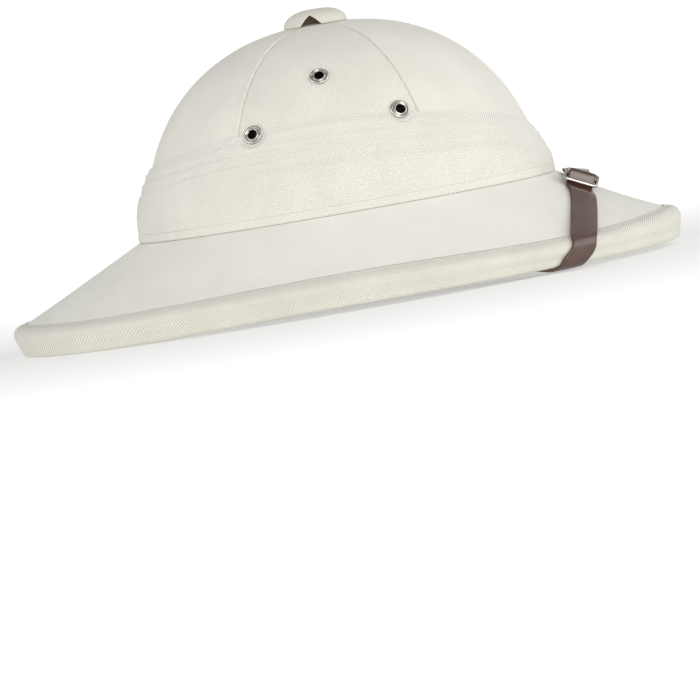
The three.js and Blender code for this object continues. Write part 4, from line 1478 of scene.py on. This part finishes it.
    def band(self) -> Piece:
        """The broad band, drawn smooth over the crown's foot, with a few soft dents."""
        form = self.form
        turn = turns_round(self.columns)[None]
        upper = table_at(BAND_EDGE, turn) + 0.3 * unevenness(turn, np.zeros_like(turn), 8.4)
        foot = self.roll_height + form.gap + self.hem_gap
        part = np.linspace(0.0, 1.0, 48)[:, None] ** 1.05
        depth = part * (upper - foot)
        profile = np.interp(part, self.band_parts, self.band_stands)
        stand = self.stand(turn, depth, self.band_behind, profile, self.band_reach)
        height = upper - depth
        free = ease(depth, 0.5, 4.0) * (1 - ease(part, 0.8, 0.97))
        ripple = 0.2 * unevenness(turn, depth * 2.5, 6.1) * free
        hollows = np.zeros(height.shape)
        for at_turn, at_height, wide, tall, deep in self.dents:
            along = sides(turn - at_turn) * self.degree_length
            hollows += deep * np.exp(-((along / wide) ** 2) - (((height - at_height) / tall) ** 2))
        outside = stand + ripple - hollows
        lip_height, lip_stand = self.rolled_edge(upper, self.band_behind + 0.1, outside)
        level = np.ones_like(turn)
        shoulder = upper - self.tuck - form.gap
        heights = [lip_height, height, foot * level, shoulder, shoulder]
        stands = [lip_stand, outside, 0.5 * level, 0.5 * level, 4.0 * level]
        points = form.over_crown(turn, np.concatenate(heights), np.concatenate(stands))
        flat_hem = ease(points[..., 2] - form.junction_height, 0.6 * self.hem_smooth, 1.5 * self.hem_smooth)
        ribs = self.hem_ribs + (1 - self.hem_ribs) * flat_hem
        return self.finish("puggaree_broad_band", "puggaree_band", points, ribs)

    def foot_roll(self) -> Piece:
        """The narrow roll that covers the joint with the brim."""
        form = self.form
        turn = turns_round(self.columns)[None]
        top = self.roll_height + form.gap
        level = np.ones_like(turn)
        part = np.linspace(0.0, 1.0, 15)[:, None]
        height = (self.brim_gap + (top - self.brim_gap) * part) * level
        swell = (form.foot_roll_out - self.hem_out) * np.sin(math.pi * part) ** 0.7 * self.roll_shown(turn)
        # The roll turns in under itself where it meets the brim.
        under = 0.45 * (1 - ease(part, 0.0, 0.15))
        distance = self.hem_out + swell - under
        heights = np.concatenate([height, top * level, self.brim_gap * level])
        points = form.over_crown(turn, heights, np.concatenate([distance, 0.5 * level, 0.5 * level]))
        return self.finish("puggaree_hem_roll", "puggaree_foot_roll", points, self.hem_ribs)

    def finish(self, name: str, node: str, points: Array, ribs: Array | float = 1.0) -> Piece:
        """Turn a ring of sections into a dressed piece.

        Args:
            name: The object's name.
            node: The node it stands for.
            points: Rows by columns by x, y, z.
            ribs: How strongly the cloth's ribs show at each point.

        Returns:
            The piece.
        """
        # One length of cloth is wound round, so its ribs run on from fold to fold.
        around = np.radians(np.linspace(0.0, 360.0, self.columns + 1)) * self.form.crown_half_length
        rise = np.concatenate([points[..., 2], points[:, :1, 2]], 1)
        cloth = np.stack([np.broadcast_to(around, rise.shape), rise], -1)
        cloth = np.concatenate([cloth, cloth[:1]], 0)
        obj = Skin(points, cloth, ribs).build(name, "puggaree_cloth", self.form)
        obj.data.set_sharp_from_angle(angle=math.radians(75))
        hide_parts(node)
        self.wardrobe.dress(obj, Finish.PUGGAREE)
        return obj


# ---------------------------------------------------------------- eyelets and vent cap


@dataclass(frozen=True)
class Spot:
    """Where an eyelet stands: its node, its side of the helmet, its place along X and its height."""

    node: str
    side: float
    reach: float
    height: float


@dataclass
class Eyelets(Maker):
    """Six nickel eyelets, each a domed outer ring round a rolled barrel, clinched inside the crown."""

    reach: float = 38.4
    low: float = 47.2
    high: float = 70.9
    flange: float = 5.2
    barrel: float = 3.0
    bore: float = 2.4
    press_from: float = 5.7  # the cloth is pressed flat inside this distance from an eyelet's middle
    press_to: float = 8.6
    columns: int = 56
    # Below this height inside the bore, the faces get the near-black painted shade.
    bore_shade_from: float = 1.72
    drilled: float = 3.3  # radius of the hole through the crown and the cloth

    def spots(self) -> list[Spot]:
        """The six places."""
        rows = [("rear", -self.reach, self.low), ("top", 0.0, self.high), ("front", self.reach, self.low)]
        return [Spot(f"eyelet_{side}_{row}", sign, reach, height)
                for side, sign in (("right", -1.0), ("left", 1.0)) for row, reach, height in rows]

    def turn(self, spot: Spot) -> float:
        """The turn at which an eyelet stands."""
        half = self.form.crown_half_length * float(self.form.crown_share(spot.height))
        return spot.side * math.degrees(math.acos(spot.reach / half))

    def place(self, spot: Spot) -> Matrix:
        """The matrix, in the frame's millimetres, that stands a piece straight on the crown."""
        turn, height = np.array(self.turn(spot)), np.array(spot.height)
        normal = Vector(self.form.crown_normal(turn, height))
        point = Vector(self.form.shift(self.form.over_crown(turn, height, np.array(0.0))))
        return Matrix.Translation(point) @ Vector((0, 0, 1)).rotation_difference(normal).to_matrix().to_4x4()

    def drills(self) -> list[Piece]:
        """The cutters of the six holes."""
        return [prism(circle(self.drilled, 32), -12, 6, self.place(spot)) for spot in self.spots()]

    def press(self, points: Array) -> Array:
        """How far the low eyelets press the cloth down at each point, from 0 to 1."""
        total = np.zeros(points.shape[:-1])
        for spot in self.spots():
            if spot.height == self.low:
                turn, height = np.array(self.turn(spot)), np.array(spot.height)
                middle = self.form.over_crown(turn, height, np.array(1.0))
                away = np.linalg.norm(points - middle, axis=-1)
                total = np.maximum(total, 1 - ease(away, self.press_from, self.press_to))
        return total

    def profile(self) -> Array:
        """The section of an eyelet: flange dome, inner roll, bore and clinch."""
        inside = -self.form.crown_wall - 1.1
        lip = self.barrel + 1.2
        dome = [(self.barrel, 0.3), (self.flange - 0.35, 0.3), (self.flange, 0.55), (self.flange, 0.95),
                (self.flange - 0.45, 1.5), (self.flange - 1.05, 1.62), (self.flange - 1.5, 1.25),
                (self.bore + 1.25, 1.2), (self.bore + 0.95, 1.75), (self.bore + 0.55, 1.9),
                (self.bore + 0.15, 1.7), (self.bore, 1.1)]
        clinch = [(self.bore, inside - 0.3), (self.bore + 0.5, inside - 0.7), (lip, inside - 0.5),
                  (lip, inside), (self.barrel, inside)]
        return closed_outline([*dome, *clinch], 0.3, 4)

    def build(self) -> list[Piece]:
        """Build the six eyelets."""
        pieces = []
        for spot in self.spots():
            place = self.place(spot)
            obj = turned_piece(f"{spot.node}_ring", self.profile(), self.columns, place, self.form)
            obj.data.set_sharp_from_angle(angle=math.radians(60))
            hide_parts(spot.node)
            self.wardrobe.dress(obj, Finish.NICKEL, Finish.SHADED_BORE)
            self.mark_bore(obj, place)
            pieces.append(obj)
        return pieces

    def mark_bore(self, obj: Piece, place: Matrix) -> None:
        """Give the near-black painted shade to the faces inside the bore, under its bright rolled lip.

        Args:
            obj: The eyelet.
            place: Its place on the crown.
        """
        axis = place.col[2].xyz
        middle = place.col[3].xyz * MM
        for polygon in obj.data.polygons:
            offset = polygon.center - middle
            height = offset.dot(axis)
            away = (offset - axis * height).length
            polygon.material_index = int(height < self.bore_shade_from * MM and away < (self.bore + 0.3) * MM)


@dataclass
class VentCap(Maker):
    """The small cloth-covered dome over the vent, with a pointed mouth on the right side."""

    radius: float = 16.8
    rise: float = 7.9
    wall: float = 1.6
    mouth_width: float = 11.5
    mouth_rise: float = 5.2
    mouth_behind: float = 1.8
    fullness: float = 2.6
    columns: int = 144

    def height(self, share: Array, rise: float) -> Array:
        """The dome's height over the crown's apex at a share of its radius."""
        return rise * (1 - np.clip(share, 0, 1) ** self.fullness) ** 0.5

    def build(self) -> Piece:
        """Build the dome, fitted to the crown under it, and cut its mouth."""
        form = self.form
        apex = form.junction_height + form.crown_rise
        angle = angles_round(self.columns)
        share = np.sin(np.linspace(0.001, math.pi / 2, 26))
        outer = [(self.radius * s, apex + float(self.height(s, self.rise))) for s in share]
        inner_radius = self.radius - self.wall
        inner = [(inner_radius * s, apex + float(self.height(s, self.rise - self.wall))) for s in share[::-1]]
        foot = self.crown_height(self.radius) + 0.35
        inner_foot = self.crown_height(inner_radius) + 0.35
        lip = [(self.radius + 0.2, apex - 0.12), (self.radius + 0.2, foot + 0.15), (self.radius, foot),
               (inner_radius, inner_foot)]
        profile = [*outer, *lip, *inner]
        points = lathe(profile, self.columns)
        turn = np.degrees(angle)
        waves = 0.12 * unevenness(turn[None], np.arange(len(share))[:, None] * 3.0, 9.3) * share[:, None]
        points[: len(share), :, 2] += waves
        # The cloth is drawn in by a few tiny gathers round the dome's foot.
        gathers = 0.1 * np.cos(12 * angle) * ease(share, 0.85, 1.0)[:, None]
        points[: len(share), :, 0] += gathers * np.cos(angle)
        points[: len(share), :, 1] += gathers * np.sin(angle)
        spread = closed_lengths(points)[:-1, None]
        cloth = past_closing(np.stack([spread * np.cos(angle), spread * np.sin(angle)], -1))
        obj = Skin(points, cloth, 0.9).build("vent_cap_dome", "drill_crown", form)
        half, rise = self.mouth_width / 2, self.mouth_rise
        outline = np.array([(-half, -6.0), (half, -6.0), (half, 0.0), (half * 0.5, rise * 0.62), (0.4, rise),
                            (-0.4, rise), (-half * 0.5, rise * 0.62), (-half, 0.0)])
        upright = Matrix(((1, 0, 0, 0), (0, 0, -1, 0), (0, 1, 0, 0), (0, 0, 0, 1)))
        place = Matrix.Translation((-form.rim_middle - self.mouth_behind, 0, apex - 0.6)) @ upright
        cut(obj, [prism(outline, 0.0, 2 * self.radius, place)])
        obj.data.set_sharp_from_angle(angle=math.radians(50))
        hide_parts("vent_cap")
        self.wardrobe.dress(obj, Finish.CAP, Finish.CAP_INSIDE)
        middle = Vector((-form.rim_middle, 0.0, apex - self.radius)) * MM
        for polygon in obj.data.polygons:
            polygon.material_index = int(polygon.normal.dot(polygon.center - middle) < 0)
        return obj

    def crown_height(self, radius: float) -> float:
        """Height over the floor of the crown's top at a distance from its middle, along its length."""
        share = radius / self.form.crown_half_width
        rise = self.form.crown_rise * (1 - share**self.form.crown_fullness) ** 0.5
        return self.form.junction_height + rise


# ---------------------------------------------------------------- chin strap


@dataclass
class Row:
    """A row of the strap: its centre and the direction across it."""

    centre: Array
    across: Array

    def mirrored(self) -> "Row":
        """The same row on the other side of the helmet."""
        flip = np.array([1.0, -1.0, 1.0])
        return Row(self.centre * flip, self.across * flip)


@dataclass
class ChinStrap(Maker):
    """The leather strap worn up over the brim, its slide and the rivets that hold its ends."""

    width: float = 14.0
    thickness: float = 1.7
    crossing_turn: float = -44.5
    crossing_slant: float = 38.0
    end_turn: float = -80.5
    end_height: float = 10.0
    steps: int = 760
    line_softening: int = 6  # leather bends evenly: its line and its width turn over this many steps
    width_softening: int = 16
    slide_hold: float = 9.0  # within this distance the slide's bars hold the strap in its sharper bends
    edge_radius: float = 0.5
    edge_clear: float = 0.2  # the rim curves a little within the strap's width
    wrap_from: float = 2.0  # the strap follows the edge from this far before the top corner
    slide_middle: tuple[float, float, float] = (124.8, -33.5, 43.6)
    slide_tilt: float = 27.0
    slide_fall: float = 26.0
    slide_span: float = 18.6
    slide_length: float = 13.0
    slide_bar: float = 2.0
    slide_corner: float = 1.3
    wire_sides: int = 20
    rivet_shank: float = 1.5
    rivet_head: float = 4.0
    rivet_depth: float = 4.0
    # The strap's centre (x, y, z) and the fall of its width to the front, from the helmet's middle outwards.
    middle: tuple[float, ...] = (122.2, 0.0, 47.3, 0.18)
    beside_slide: tuple[float, ...] = (122.8, -16.0, 46.3, 0.30)
    beside_crown: tuple[tuple[float, ...], ...] = ((122.6, -14.0, 44.6, 0.34), (123.8, -34.0, 39.5, 0.52))
    down_brim: tuple[tuple[float, ...], ...] = (
        (124.2, -48.0, 36.0, 0.54), (124.0, -60.0, 31.3, 0.50), (122.8, -80.0, 24.2, 0.45))
    # Its centre and the direction of its width under the brim.
    under: tuple[tuple[float, ...], ...] = (
        (84.0, -101.0, 6.8, 0.24, 0.95, 0.05), (62.0, -95.7, 17.8, 0.32, 0.80, 0.40),
        (40.0, -86.5, 28.6, 0.42, 0.45, 0.75), (26.0, -80.0, 39.0, 0.55, 0.10, 0.80))

    @property
    def clear(self) -> float:
        """From what the strap lies on to its own middle."""
        return self.form.gap + self.thickness / 2

    @property
    def wall_clear(self) -> float:
        """The same against the crown's inner wall, which curves within the strap's width."""
        return self.clear + 0.9

    def over_row(self, values: Sequence[float]) -> Row:
        """A row on top of the brim."""
        x, y, z, fall = values
        return Row(np.array([x, y, z]), unit(np.array([1.0, 0.0, -fall])))

    def under_row(self, values: Sequence[float]) -> Row:
        """A row under the brim."""
        return Row(np.array(values[:3]), unit(np.array(values[3:])))

    def rim_tangent(self, turn: float) -> Array:
        """The rim's direction towards the rear, on the right side."""
        angle = math.radians(turn)
        x, y = self.form.rim_half_length * math.sin(angle), -self.form.rim_half_width * math.cos(angle)
        return unit(np.array([x, y, 0.0]))

    def round_edge(self) -> list[Row]:
        """The rows over the brim's edge, where the strap keeps its slant as it wraps round."""
        binding = Binding(self.form, self.wardrobe)
        start = binding.outline(np.array([self.crossing_turn]))[:, 0]
        slant = math.tan(math.radians(self.crossing_slant))
        per_radian = math.hypot(self.form.rim_half_length, self.form.rim_half_width) / math.sqrt(2)
        reach = length_along(start)
        wrapped = reach - self.form.binding_flange
        turn = self.crossing_turn - np.degrees(slant * wrapped / per_radian)
        places = np.arange(len(start))
        line = binding.outline(turn)[places, places]
        run = unit(np.gradient(start, axis=0))
        lift = self.clear + self.edge_clear
        rows = []
        seen = (wrapped > -self.wrap_from) & (reach < reach[-1] - self.form.binding_flange)
        for place in places[seen][::2]:
            rearward = self.rim_tangent(turn[place])
            rows.append(Row(line[place] + unit(np.cross(rearward, run[place])) * lift, -rearward))
        return rows

    def slide_frame(self) -> tuple[Array, Array, Array, Array]:
        """The slide's middle and its directions across the strap, along it and out of the brim."""
        fall, tilt = math.radians(self.slide_fall), math.radians(self.slide_tilt)
        across = np.array([math.cos(fall), 0.0, -math.sin(fall)])
        along = np.array([0.0, -math.cos(tilt), -math.sin(tilt)])
        along = unit(along - across * float(along @ across))
        return np.array(self.slide_middle), across, along, np.cross(along, across)

    def through_slide(self) -> list[Row]:
        """The rows under the slide's two outer bars and in a hump over its middle one."""
        middle, across, along, out = self.slide_frame()
        spacing = (self.slide_length - self.slide_bar) / 2
        weave = self.slide_bar / 2 + self.clear + 0.2
        shape = [(-1.0, -weave), (-0.5, 0.2), (0.0, 1.4 * weave), (0.5, 0.2), (1.0, -weave)]
        return [Row(middle + along * run * spacing + out * rise, across) for run, rise in shape]

    def inside_crown(self) -> list[Row]:
        """The rows flat against the crown's inner wall, up to the strap's end."""
        spots = [(self.end_turn + 1.2, 4.0, 0.35), (self.end_turn, self.end_height, 0.1),
                 (self.end_turn - 0.3, self.end_height + 6, 0.0)]
        rows = []
        for turn, height, lean in spots:
            at, over = np.array(turn), np.array(height)
            across = np.cross([0.0, 0.0, 1.0], self.form.crown_normal(at, over))
            across[2] = lean
            inset = -self.form.crown_wall - self.wall_clear
            rows.append(Row(self.form.over_crown(at, over, np.array(inset)), unit(across)))
        return rows

    def rows(self) -> list[Row]:
        """Every row from the left rivet over the brim to the right rivet."""
        down = [self.over_row(row) for row in self.down_brim] + self.round_edge()
        side = down + [self.under_row(row) for row in self.under] + self.inside_crown()
        right = [self.over_row(self.middle), self.over_row(self.beside_slide), *self.through_slide(), *side]
        left = [row.mirrored() for row in [self.over_row(row) for row in self.beside_crown] + side]
        return [*left[::-1], *right]

    def section(self) -> Array:
        """The strap's section, across and out, from the middle of the upper face round."""
        half, up, soft = self.width / 2, self.thickness / 2, self.edge_radius
        corner = [(math.cos(a), math.sin(a)) for a in np.linspace(0, math.pi / 2, 5)]
        quarter = [(half - soft + soft * x, up - soft + soft * y) for x, y in corner][::-1]
        face = [(x, up) for x in np.linspace(0, half - soft, 8)[:-1]]
        top_right = [*face, *quarter, (half, 0.0)]
        low_right = [(x, -y) for x, y in top_right[:-1]][::-1]
        low_left = [(-x, y) for x, y in low_right[:-1]][::-1]
        top_left = [(-x, y) for x, y in top_right[1:]][::-1]
        return np.array([*top_right, *low_right, *low_left, *top_left])

    def build(self) -> list[Piece]:
        """Build the strap, the slide and the rivets."""
        rows = self.rows()
        parts = np.linspace(0.0, 1.0, 12 * self.steps)
        curve = centripetal_curve(np.array([row.centre for row in rows]), parts)
        places = parts * (len(rows) - 1)
        turning = [np.interp(places, range(len(rows)), [row.across[axis] for row in rows])
                   for axis in range(3)]
        line, across = evenly_spaced(curve, np.stack(turning, -1), self.steps)
        away = np.linalg.norm(line - np.array(self.slide_middle), axis=1)
        free = ease(away, self.slide_hold, 1.8 * self.slide_hold)[:, None]
        line = line * (1 - free) + softened(line, self.line_softening) * free
        across = unit(softened(across, self.width_softening))
        run = unit(np.gradient(line, axis=0))
        out = unit(np.cross(run, across))
        skew = np.sqrt(1 - np.einsum("ij,ij->i", run, across) ** 2)
        length = length_along(line)
        LOG.info("chin strap: %.0f mm long, %.1f mm wide", length[-1], self.width)
        section = self.section()
        cup = 0.16 * (section[:, 0] / (self.width / 2)) ** 2
        points = (line[None] + across[None] * (section[:, 0, None] / skew[None])[..., None]
                  + out[None] * (section[:, 1] - cup)[:, None, None])
        nibble = 0.05 * np.sin(length * 2.1) + 0.04 * np.sin(length * 5.3)
        on_edge = np.abs(section[:, 0]) > self.width / 2 - 0.01
        points = points + across[None] * ((np.sign(section[:, 0]) * on_edge)[:, None] * nibble)[..., None]
        side = length_along(section)
        side = np.append(side, side[-1] + 1.0)
        cloth = np.stack(np.meshgrid(length, side, indexing="xy"), -1)
        skin = Skin(points, cloth, 1.0, columns_close=False)
        obj = skin.build("chin_strap_leather", "strap_leather", self.form)
        cut(obj, [self.rivet_hole(side_sign) for side_sign in (1.0, -1.0)])
        self.wardrobe.dress(obj, Finish.LEATHER, Finish.LEATHER_EDGE)
        self.mark_edges(obj, line, across)
        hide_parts("chin_strap")
        return [obj, self.slide(), self.rivet("strap_rivet_right", 1.0), self.rivet("strap_rivet_left", -1.0)]

    def mark_edges(self, obj: Piece, line: Array, across: Array) -> None:
        """Give the raw-edge finish to the faces on the strap's narrow sides.

        Args:
            obj: The strap.
            line: Its middle line.
            across: The direction across it at each place of the line.
        """
        mesh = obj.data
        count = len(mesh.polygons)
        centre = np.empty(3 * count)
        normal = np.empty(3 * count)
        mesh.polygons.foreach_get("center", centre)
        mesh.polygons.foreach_get("normal", normal)
        centre = centre.reshape(-1, 3) / MM + np.array([self.form.rim_middle, 0.0, 0.0])
        normal = normal.reshape(-1, 3)
        index = np.zeros(count, np.int32)
        for start in range(0, count, 2000):
            block = centre[start:start + 2000]
            nearest = np.linalg.norm(block[:, None] - line[None], axis=-1).argmin(1)
            facing = np.abs(np.einsum("ij,ij->i", normal[start:start + 2000], across[nearest]))
            offset = np.abs(np.einsum("ij,ij->i", block - line[nearest], across[nearest]))
            index[start:start + 2000] = (facing > 0.55) & (offset > 0.4 * self.width)
        mesh.polygons.foreach_set("material_index", index)

    def rivet_place(self, side: float) -> Matrix:
        """Where a rivet stands inside the crown, in the frame's millimetres; side 1 is the right."""
        turn, height = np.array(self.end_turn * side), np.array(self.end_height)
        normal = -Vector(self.form.crown_normal(turn, height))
        point = Vector(self.form.shift(self.form.over_crown(turn, height, np.array(-self.form.crown_wall))))
        return Matrix.Translation(point) @ Vector((0, 0, 1)).rotation_difference(normal).to_matrix().to_4x4()

    def rivet_hole(self, side: float) -> Piece:
        """The cutter for a rivet's hole."""
        ring = circle(self.rivet_shank + self.form.gap, 24)
        return prism(ring, -0.2, self.rivet_depth + self.form.gap, self.rivet_place(side))

    def rivet(self, node: str, side: float) -> Piece:
        """A plain domed rivet, its shank in the crown's wall.

        Args:
            node: The frame node that it replaces.
            side: 1 for the right side and -1 for the left.

        Returns:
            The piece.
        """
        head = self.wall_clear + self.thickness / 2 + self.form.gap
        shank, wide = self.rivet_shank, self.rivet_head
        profile = [(0.02, -self.rivet_depth), (shank, -self.rivet_depth), (shank, head), (wide, head),
                   (wide, head + 0.4), (wide - 1.2, head + 1.1), (0.02, head + 1.3)]
        outline = closed_outline(profile, 0.35, 4)
        obj = turned_piece(f"{node}_head", outline, 40, self.rivet_place(side), self.form)
        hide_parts(node)
        self.wardrobe.dress(obj, Finish.NICKEL)
        return obj

    def slide(self) -> Piece:
        """The slide: a frame of wire with round corners and a bar across its middle."""
        middle, across, along, out = self.slide_frame()
        radius = self.slide_bar / 2
        half_x, half_y = (self.slide_span - self.slide_bar) / 2, (self.slide_length - self.slide_bar) / 2
        bend = self.slide_corner
        path = []
        for sign_x, sign_y, start in ((1, 1, 0), (-1, 1, 90), (-1, -1, 180), (1, -1, 270)):
            for angle in np.radians(np.linspace(start, start + 90, 9)):
                path.append((sign_x * (half_x - bend) + bend * math.cos(angle),
                             sign_y * (half_y - bend) + bend * math.sin(angle)))
        path = np.array(path)
        points, faces = self.wire_loop(path, radius)
        bar, bar_faces = self.wire_bar(half_x - 0.25 * radius, radius * 0.96)
        faces += [[vertex + len(points) for vertex in face] for face in bar_faces]
        local = np.concatenate([points, bar])
        world = middle + local[:, :1] * across - local[:, 1:2] * along + local[:, 2:3] * out
        obj = add_piece("strap_slide_wire", self.form.shift(world), faces)
        bpy.context.view_layer.update()
        modifier = obj.modifiers.new("weld the bar", "REMESH")
        modifier.mode = "VOXEL"
        modifier.voxel_size = 0.22 * MM
        modifier.use_smooth_shade = True
        smooth = obj.modifiers.new("smooth", "SMOOTH")
        smooth.factor, smooth.iterations = 0.5, 3
        cut(obj, [])
        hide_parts("strap_slide")
        self.wardrobe.dress(obj, Finish.NICKEL)
        return obj

    def wire_loop(self, path: Array, radius: float) -> tuple[Array, list]:
        """Round wire along a closed flat path.

        Args:
            path: Its middle line's points, by x and y.
            radius: Of the wire.

        Returns:
            Its points and faces.
        """
        run = unit(np.roll(path, -1, 0) - np.roll(path, 1, 0))
        side = np.stack([run[:, 1], -run[:, 0]], -1)
        angle = angles_round(self.wire_sides)
        flat = path[:, None] + side[:, None] * (radius * np.cos(angle))[None, :, None]
        rise = np.broadcast_to(radius * np.sin(angle), flat.shape[:2])
        points = np.concatenate([flat, rise[..., None]], -1).reshape(-1, 3)
        return points, facing_out(points, tube_faces(len(path), self.wire_sides, closed=True))

    def wire_bar(self, half: float, radius: float) -> tuple[Array, list]:
        """A straight round bar along x, from -half to half, as points and faces."""
        ring = circle(radius, self.wire_sides)
        points = np.concatenate([np.insert(ring, 0, x, axis=1) for x in (-half, 0.0, half)])
        return points, facing_out(points, tube_faces(3, self.wire_sides))


# ---------------------------------------------------------------- studio


@dataclass
class Studio:
    """The floor, the soft lights and the camera, whose places are in metres."""

    floor_radius: float = 24000.0
    # The camera's place round the helmet, worked out so that the helmet's own lines fall as seen.
    azimuth: float = 2.59
    elevation: float = 3.0
    roll: float = -9.98
    distance: float = 3.432
    lens: float = 333.0
    aim: tuple[float, float, float] = (-0.0051, 0.0, -0.0264)

    def build(self) -> None:
        """Build the floor, the lights, the world and the camera."""
        self.floor()
        self.world()
        # A wide soft box beside the camera, a little to the helmet's front, and a weak one behind.
        self.light("key", (0.8, -2.9, 0.85), 1.6, 32.0, "#fffdf8")
        self.light("front_fill", (2.6, -0.3, 1.3), 2.0, 18.0, "#fbfdff")
        self.light("rear_fill", (-2.7, -0.9, 1.2), 2.0, 14.0, "#fbfdff")
        self.camera()

    def floor(self) -> None:
        """A large round floor of matt white laminate, whose faint glow keeps it as pale as the walls and dims
        beside the helmet into a painted shadow.
        """
        ring = np.insert(circle(self.floor_radius, 96), 2, 0.0, axis=1)
        obj = mesh_object("floor", ring, [list(range(len(ring)))])
        recipe = Recipe("white_floor_glow_with_painted_shadow")
        # The glow is weaker beside the helmet, so that its under edge isn't lit from below; the dimmer ring
        # is a painted soft shadow round the helmet.
        away = add_node(recipe.tree, "ShaderNodeVectorMath", {0: recipe.place()}, operation="LENGTH")
        recipe.feed("Emission Strength", recipe.remap(away.outputs["Value"], (0.15, 0.8), (0.4, 0.78)))
        obj.data.materials.append(recipe.finished({"Base Color": linear("#c4c4c2"), "Roughness": 0.9,
                                                   "Emission Color": linear("#ffffff")}))

    def world(self) -> None:
        """White walls near the horizon that dim towards the ceiling."""
        world = bpy.data.worlds.new("studio")
        bpy.context.scene.world = world
        world.use_nodes = True
        tree = world.node_tree
        tree.nodes.clear()
        direction = add_node(tree, "ShaderNodeTexCoord").outputs["Generated"]
        upright = add_node(tree, "ShaderNodeSeparateXYZ", {"Vector": direction}).outputs["Z"]
        dimming = add_node(tree, "ShaderNodeMapRange", {"Value": upright, "From Min": 0.12, "From Max": 0.5,
                                                        "To Min": 1.12, "To Max": 0.40}).outputs[0]
        light = add_node(tree, "ShaderNodeBackground", {"Color": linear("#ffffff"), "Strength": dimming})
        add_node(tree, "ShaderNodeOutputWorld", {"Surface": light.outputs["Background"]})

    def light(self, name: str, place: tuple[float, float, float], size: float, power: float,
              colour: str) -> None:
        """Add a square soft box that faces the helmet.

        Args:
            name: The light's name.
            place: Where it stands, in metres.
            size: The length of its sides, in metres.
            power: In watts.
            colour: As sRGB hex.
        """
        data = bpy.data.lights.new(name, "AREA")
        data.shape, data.size, data.energy = "SQUARE", size, power
        data.color = linear(colour)[:3]
        obj = bpy.data.objects.new(name, data)
        obj.location = place
        obj.rotation_euler = (Vector((0, 0, 0.06)) - Vector(place)).to_track_quat("-Z", "Y").to_euler()
        obj.visible_camera = False
        bpy.context.scene.collection.objects.link(obj)

    def camera(self) -> None:
        """Place the camera and let colours through unchanged."""
        data = bpy.data.cameras.new("camera")
        data.lens, data.sensor_width = self.lens, 36.0
        data.clip_start, data.clip_end = 0.05, 100.0
        obj = bpy.data.objects.new("camera", data)
        azimuth, elevation = math.radians(self.azimuth), math.radians(self.elevation)
        level = math.cos(elevation)
        back = Vector((math.sin(azimuth) * level, -math.cos(azimuth) * level, math.sin(elevation)))
        obj.location = Vector(self.aim) + back * self.distance
        roll = Matrix.Rotation(math.radians(self.roll), 4, "Z").to_quaternion()
        turn = (-back).to_track_quat("-Z", "Y") @ roll
        obj.rotation_euler = turn.to_euler()
        bpy.context.scene.collection.objects.link(obj)
        bpy.context.scene.camera = obj
        bpy.context.scene.view_settings.view_transform = "Standard"


# ---------------------------------------------------------------- assembly


def main() -> None:
    """Build the helmet's sub-assemblies in order, then the studio."""
    logging.basicConfig(level=logging.INFO, format="%(name)s: %(message)s")
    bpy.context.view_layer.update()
    form, wardrobe = HelmetForm(), Wardrobe()
    eyelets = Eyelets(form, wardrobe)
    pieces = [
        Crown(form, wardrobe).build(eyelets),
        Brim(form, wardrobe).build(),
        *Binding(form, wardrobe).build(),
        *Puggaree(form, wardrobe).build(eyelets),
        VentCap(form, wardrobe).build(),
        *eyelets.build(),
        *ChinStrap(form, wardrobe).build(),
    ]
    for obj in pieces:
        LOG.info("%s: %d faces", obj.name, len(obj.data.polygons))
    Studio().build()


if __name__ == "__main__":
    main()
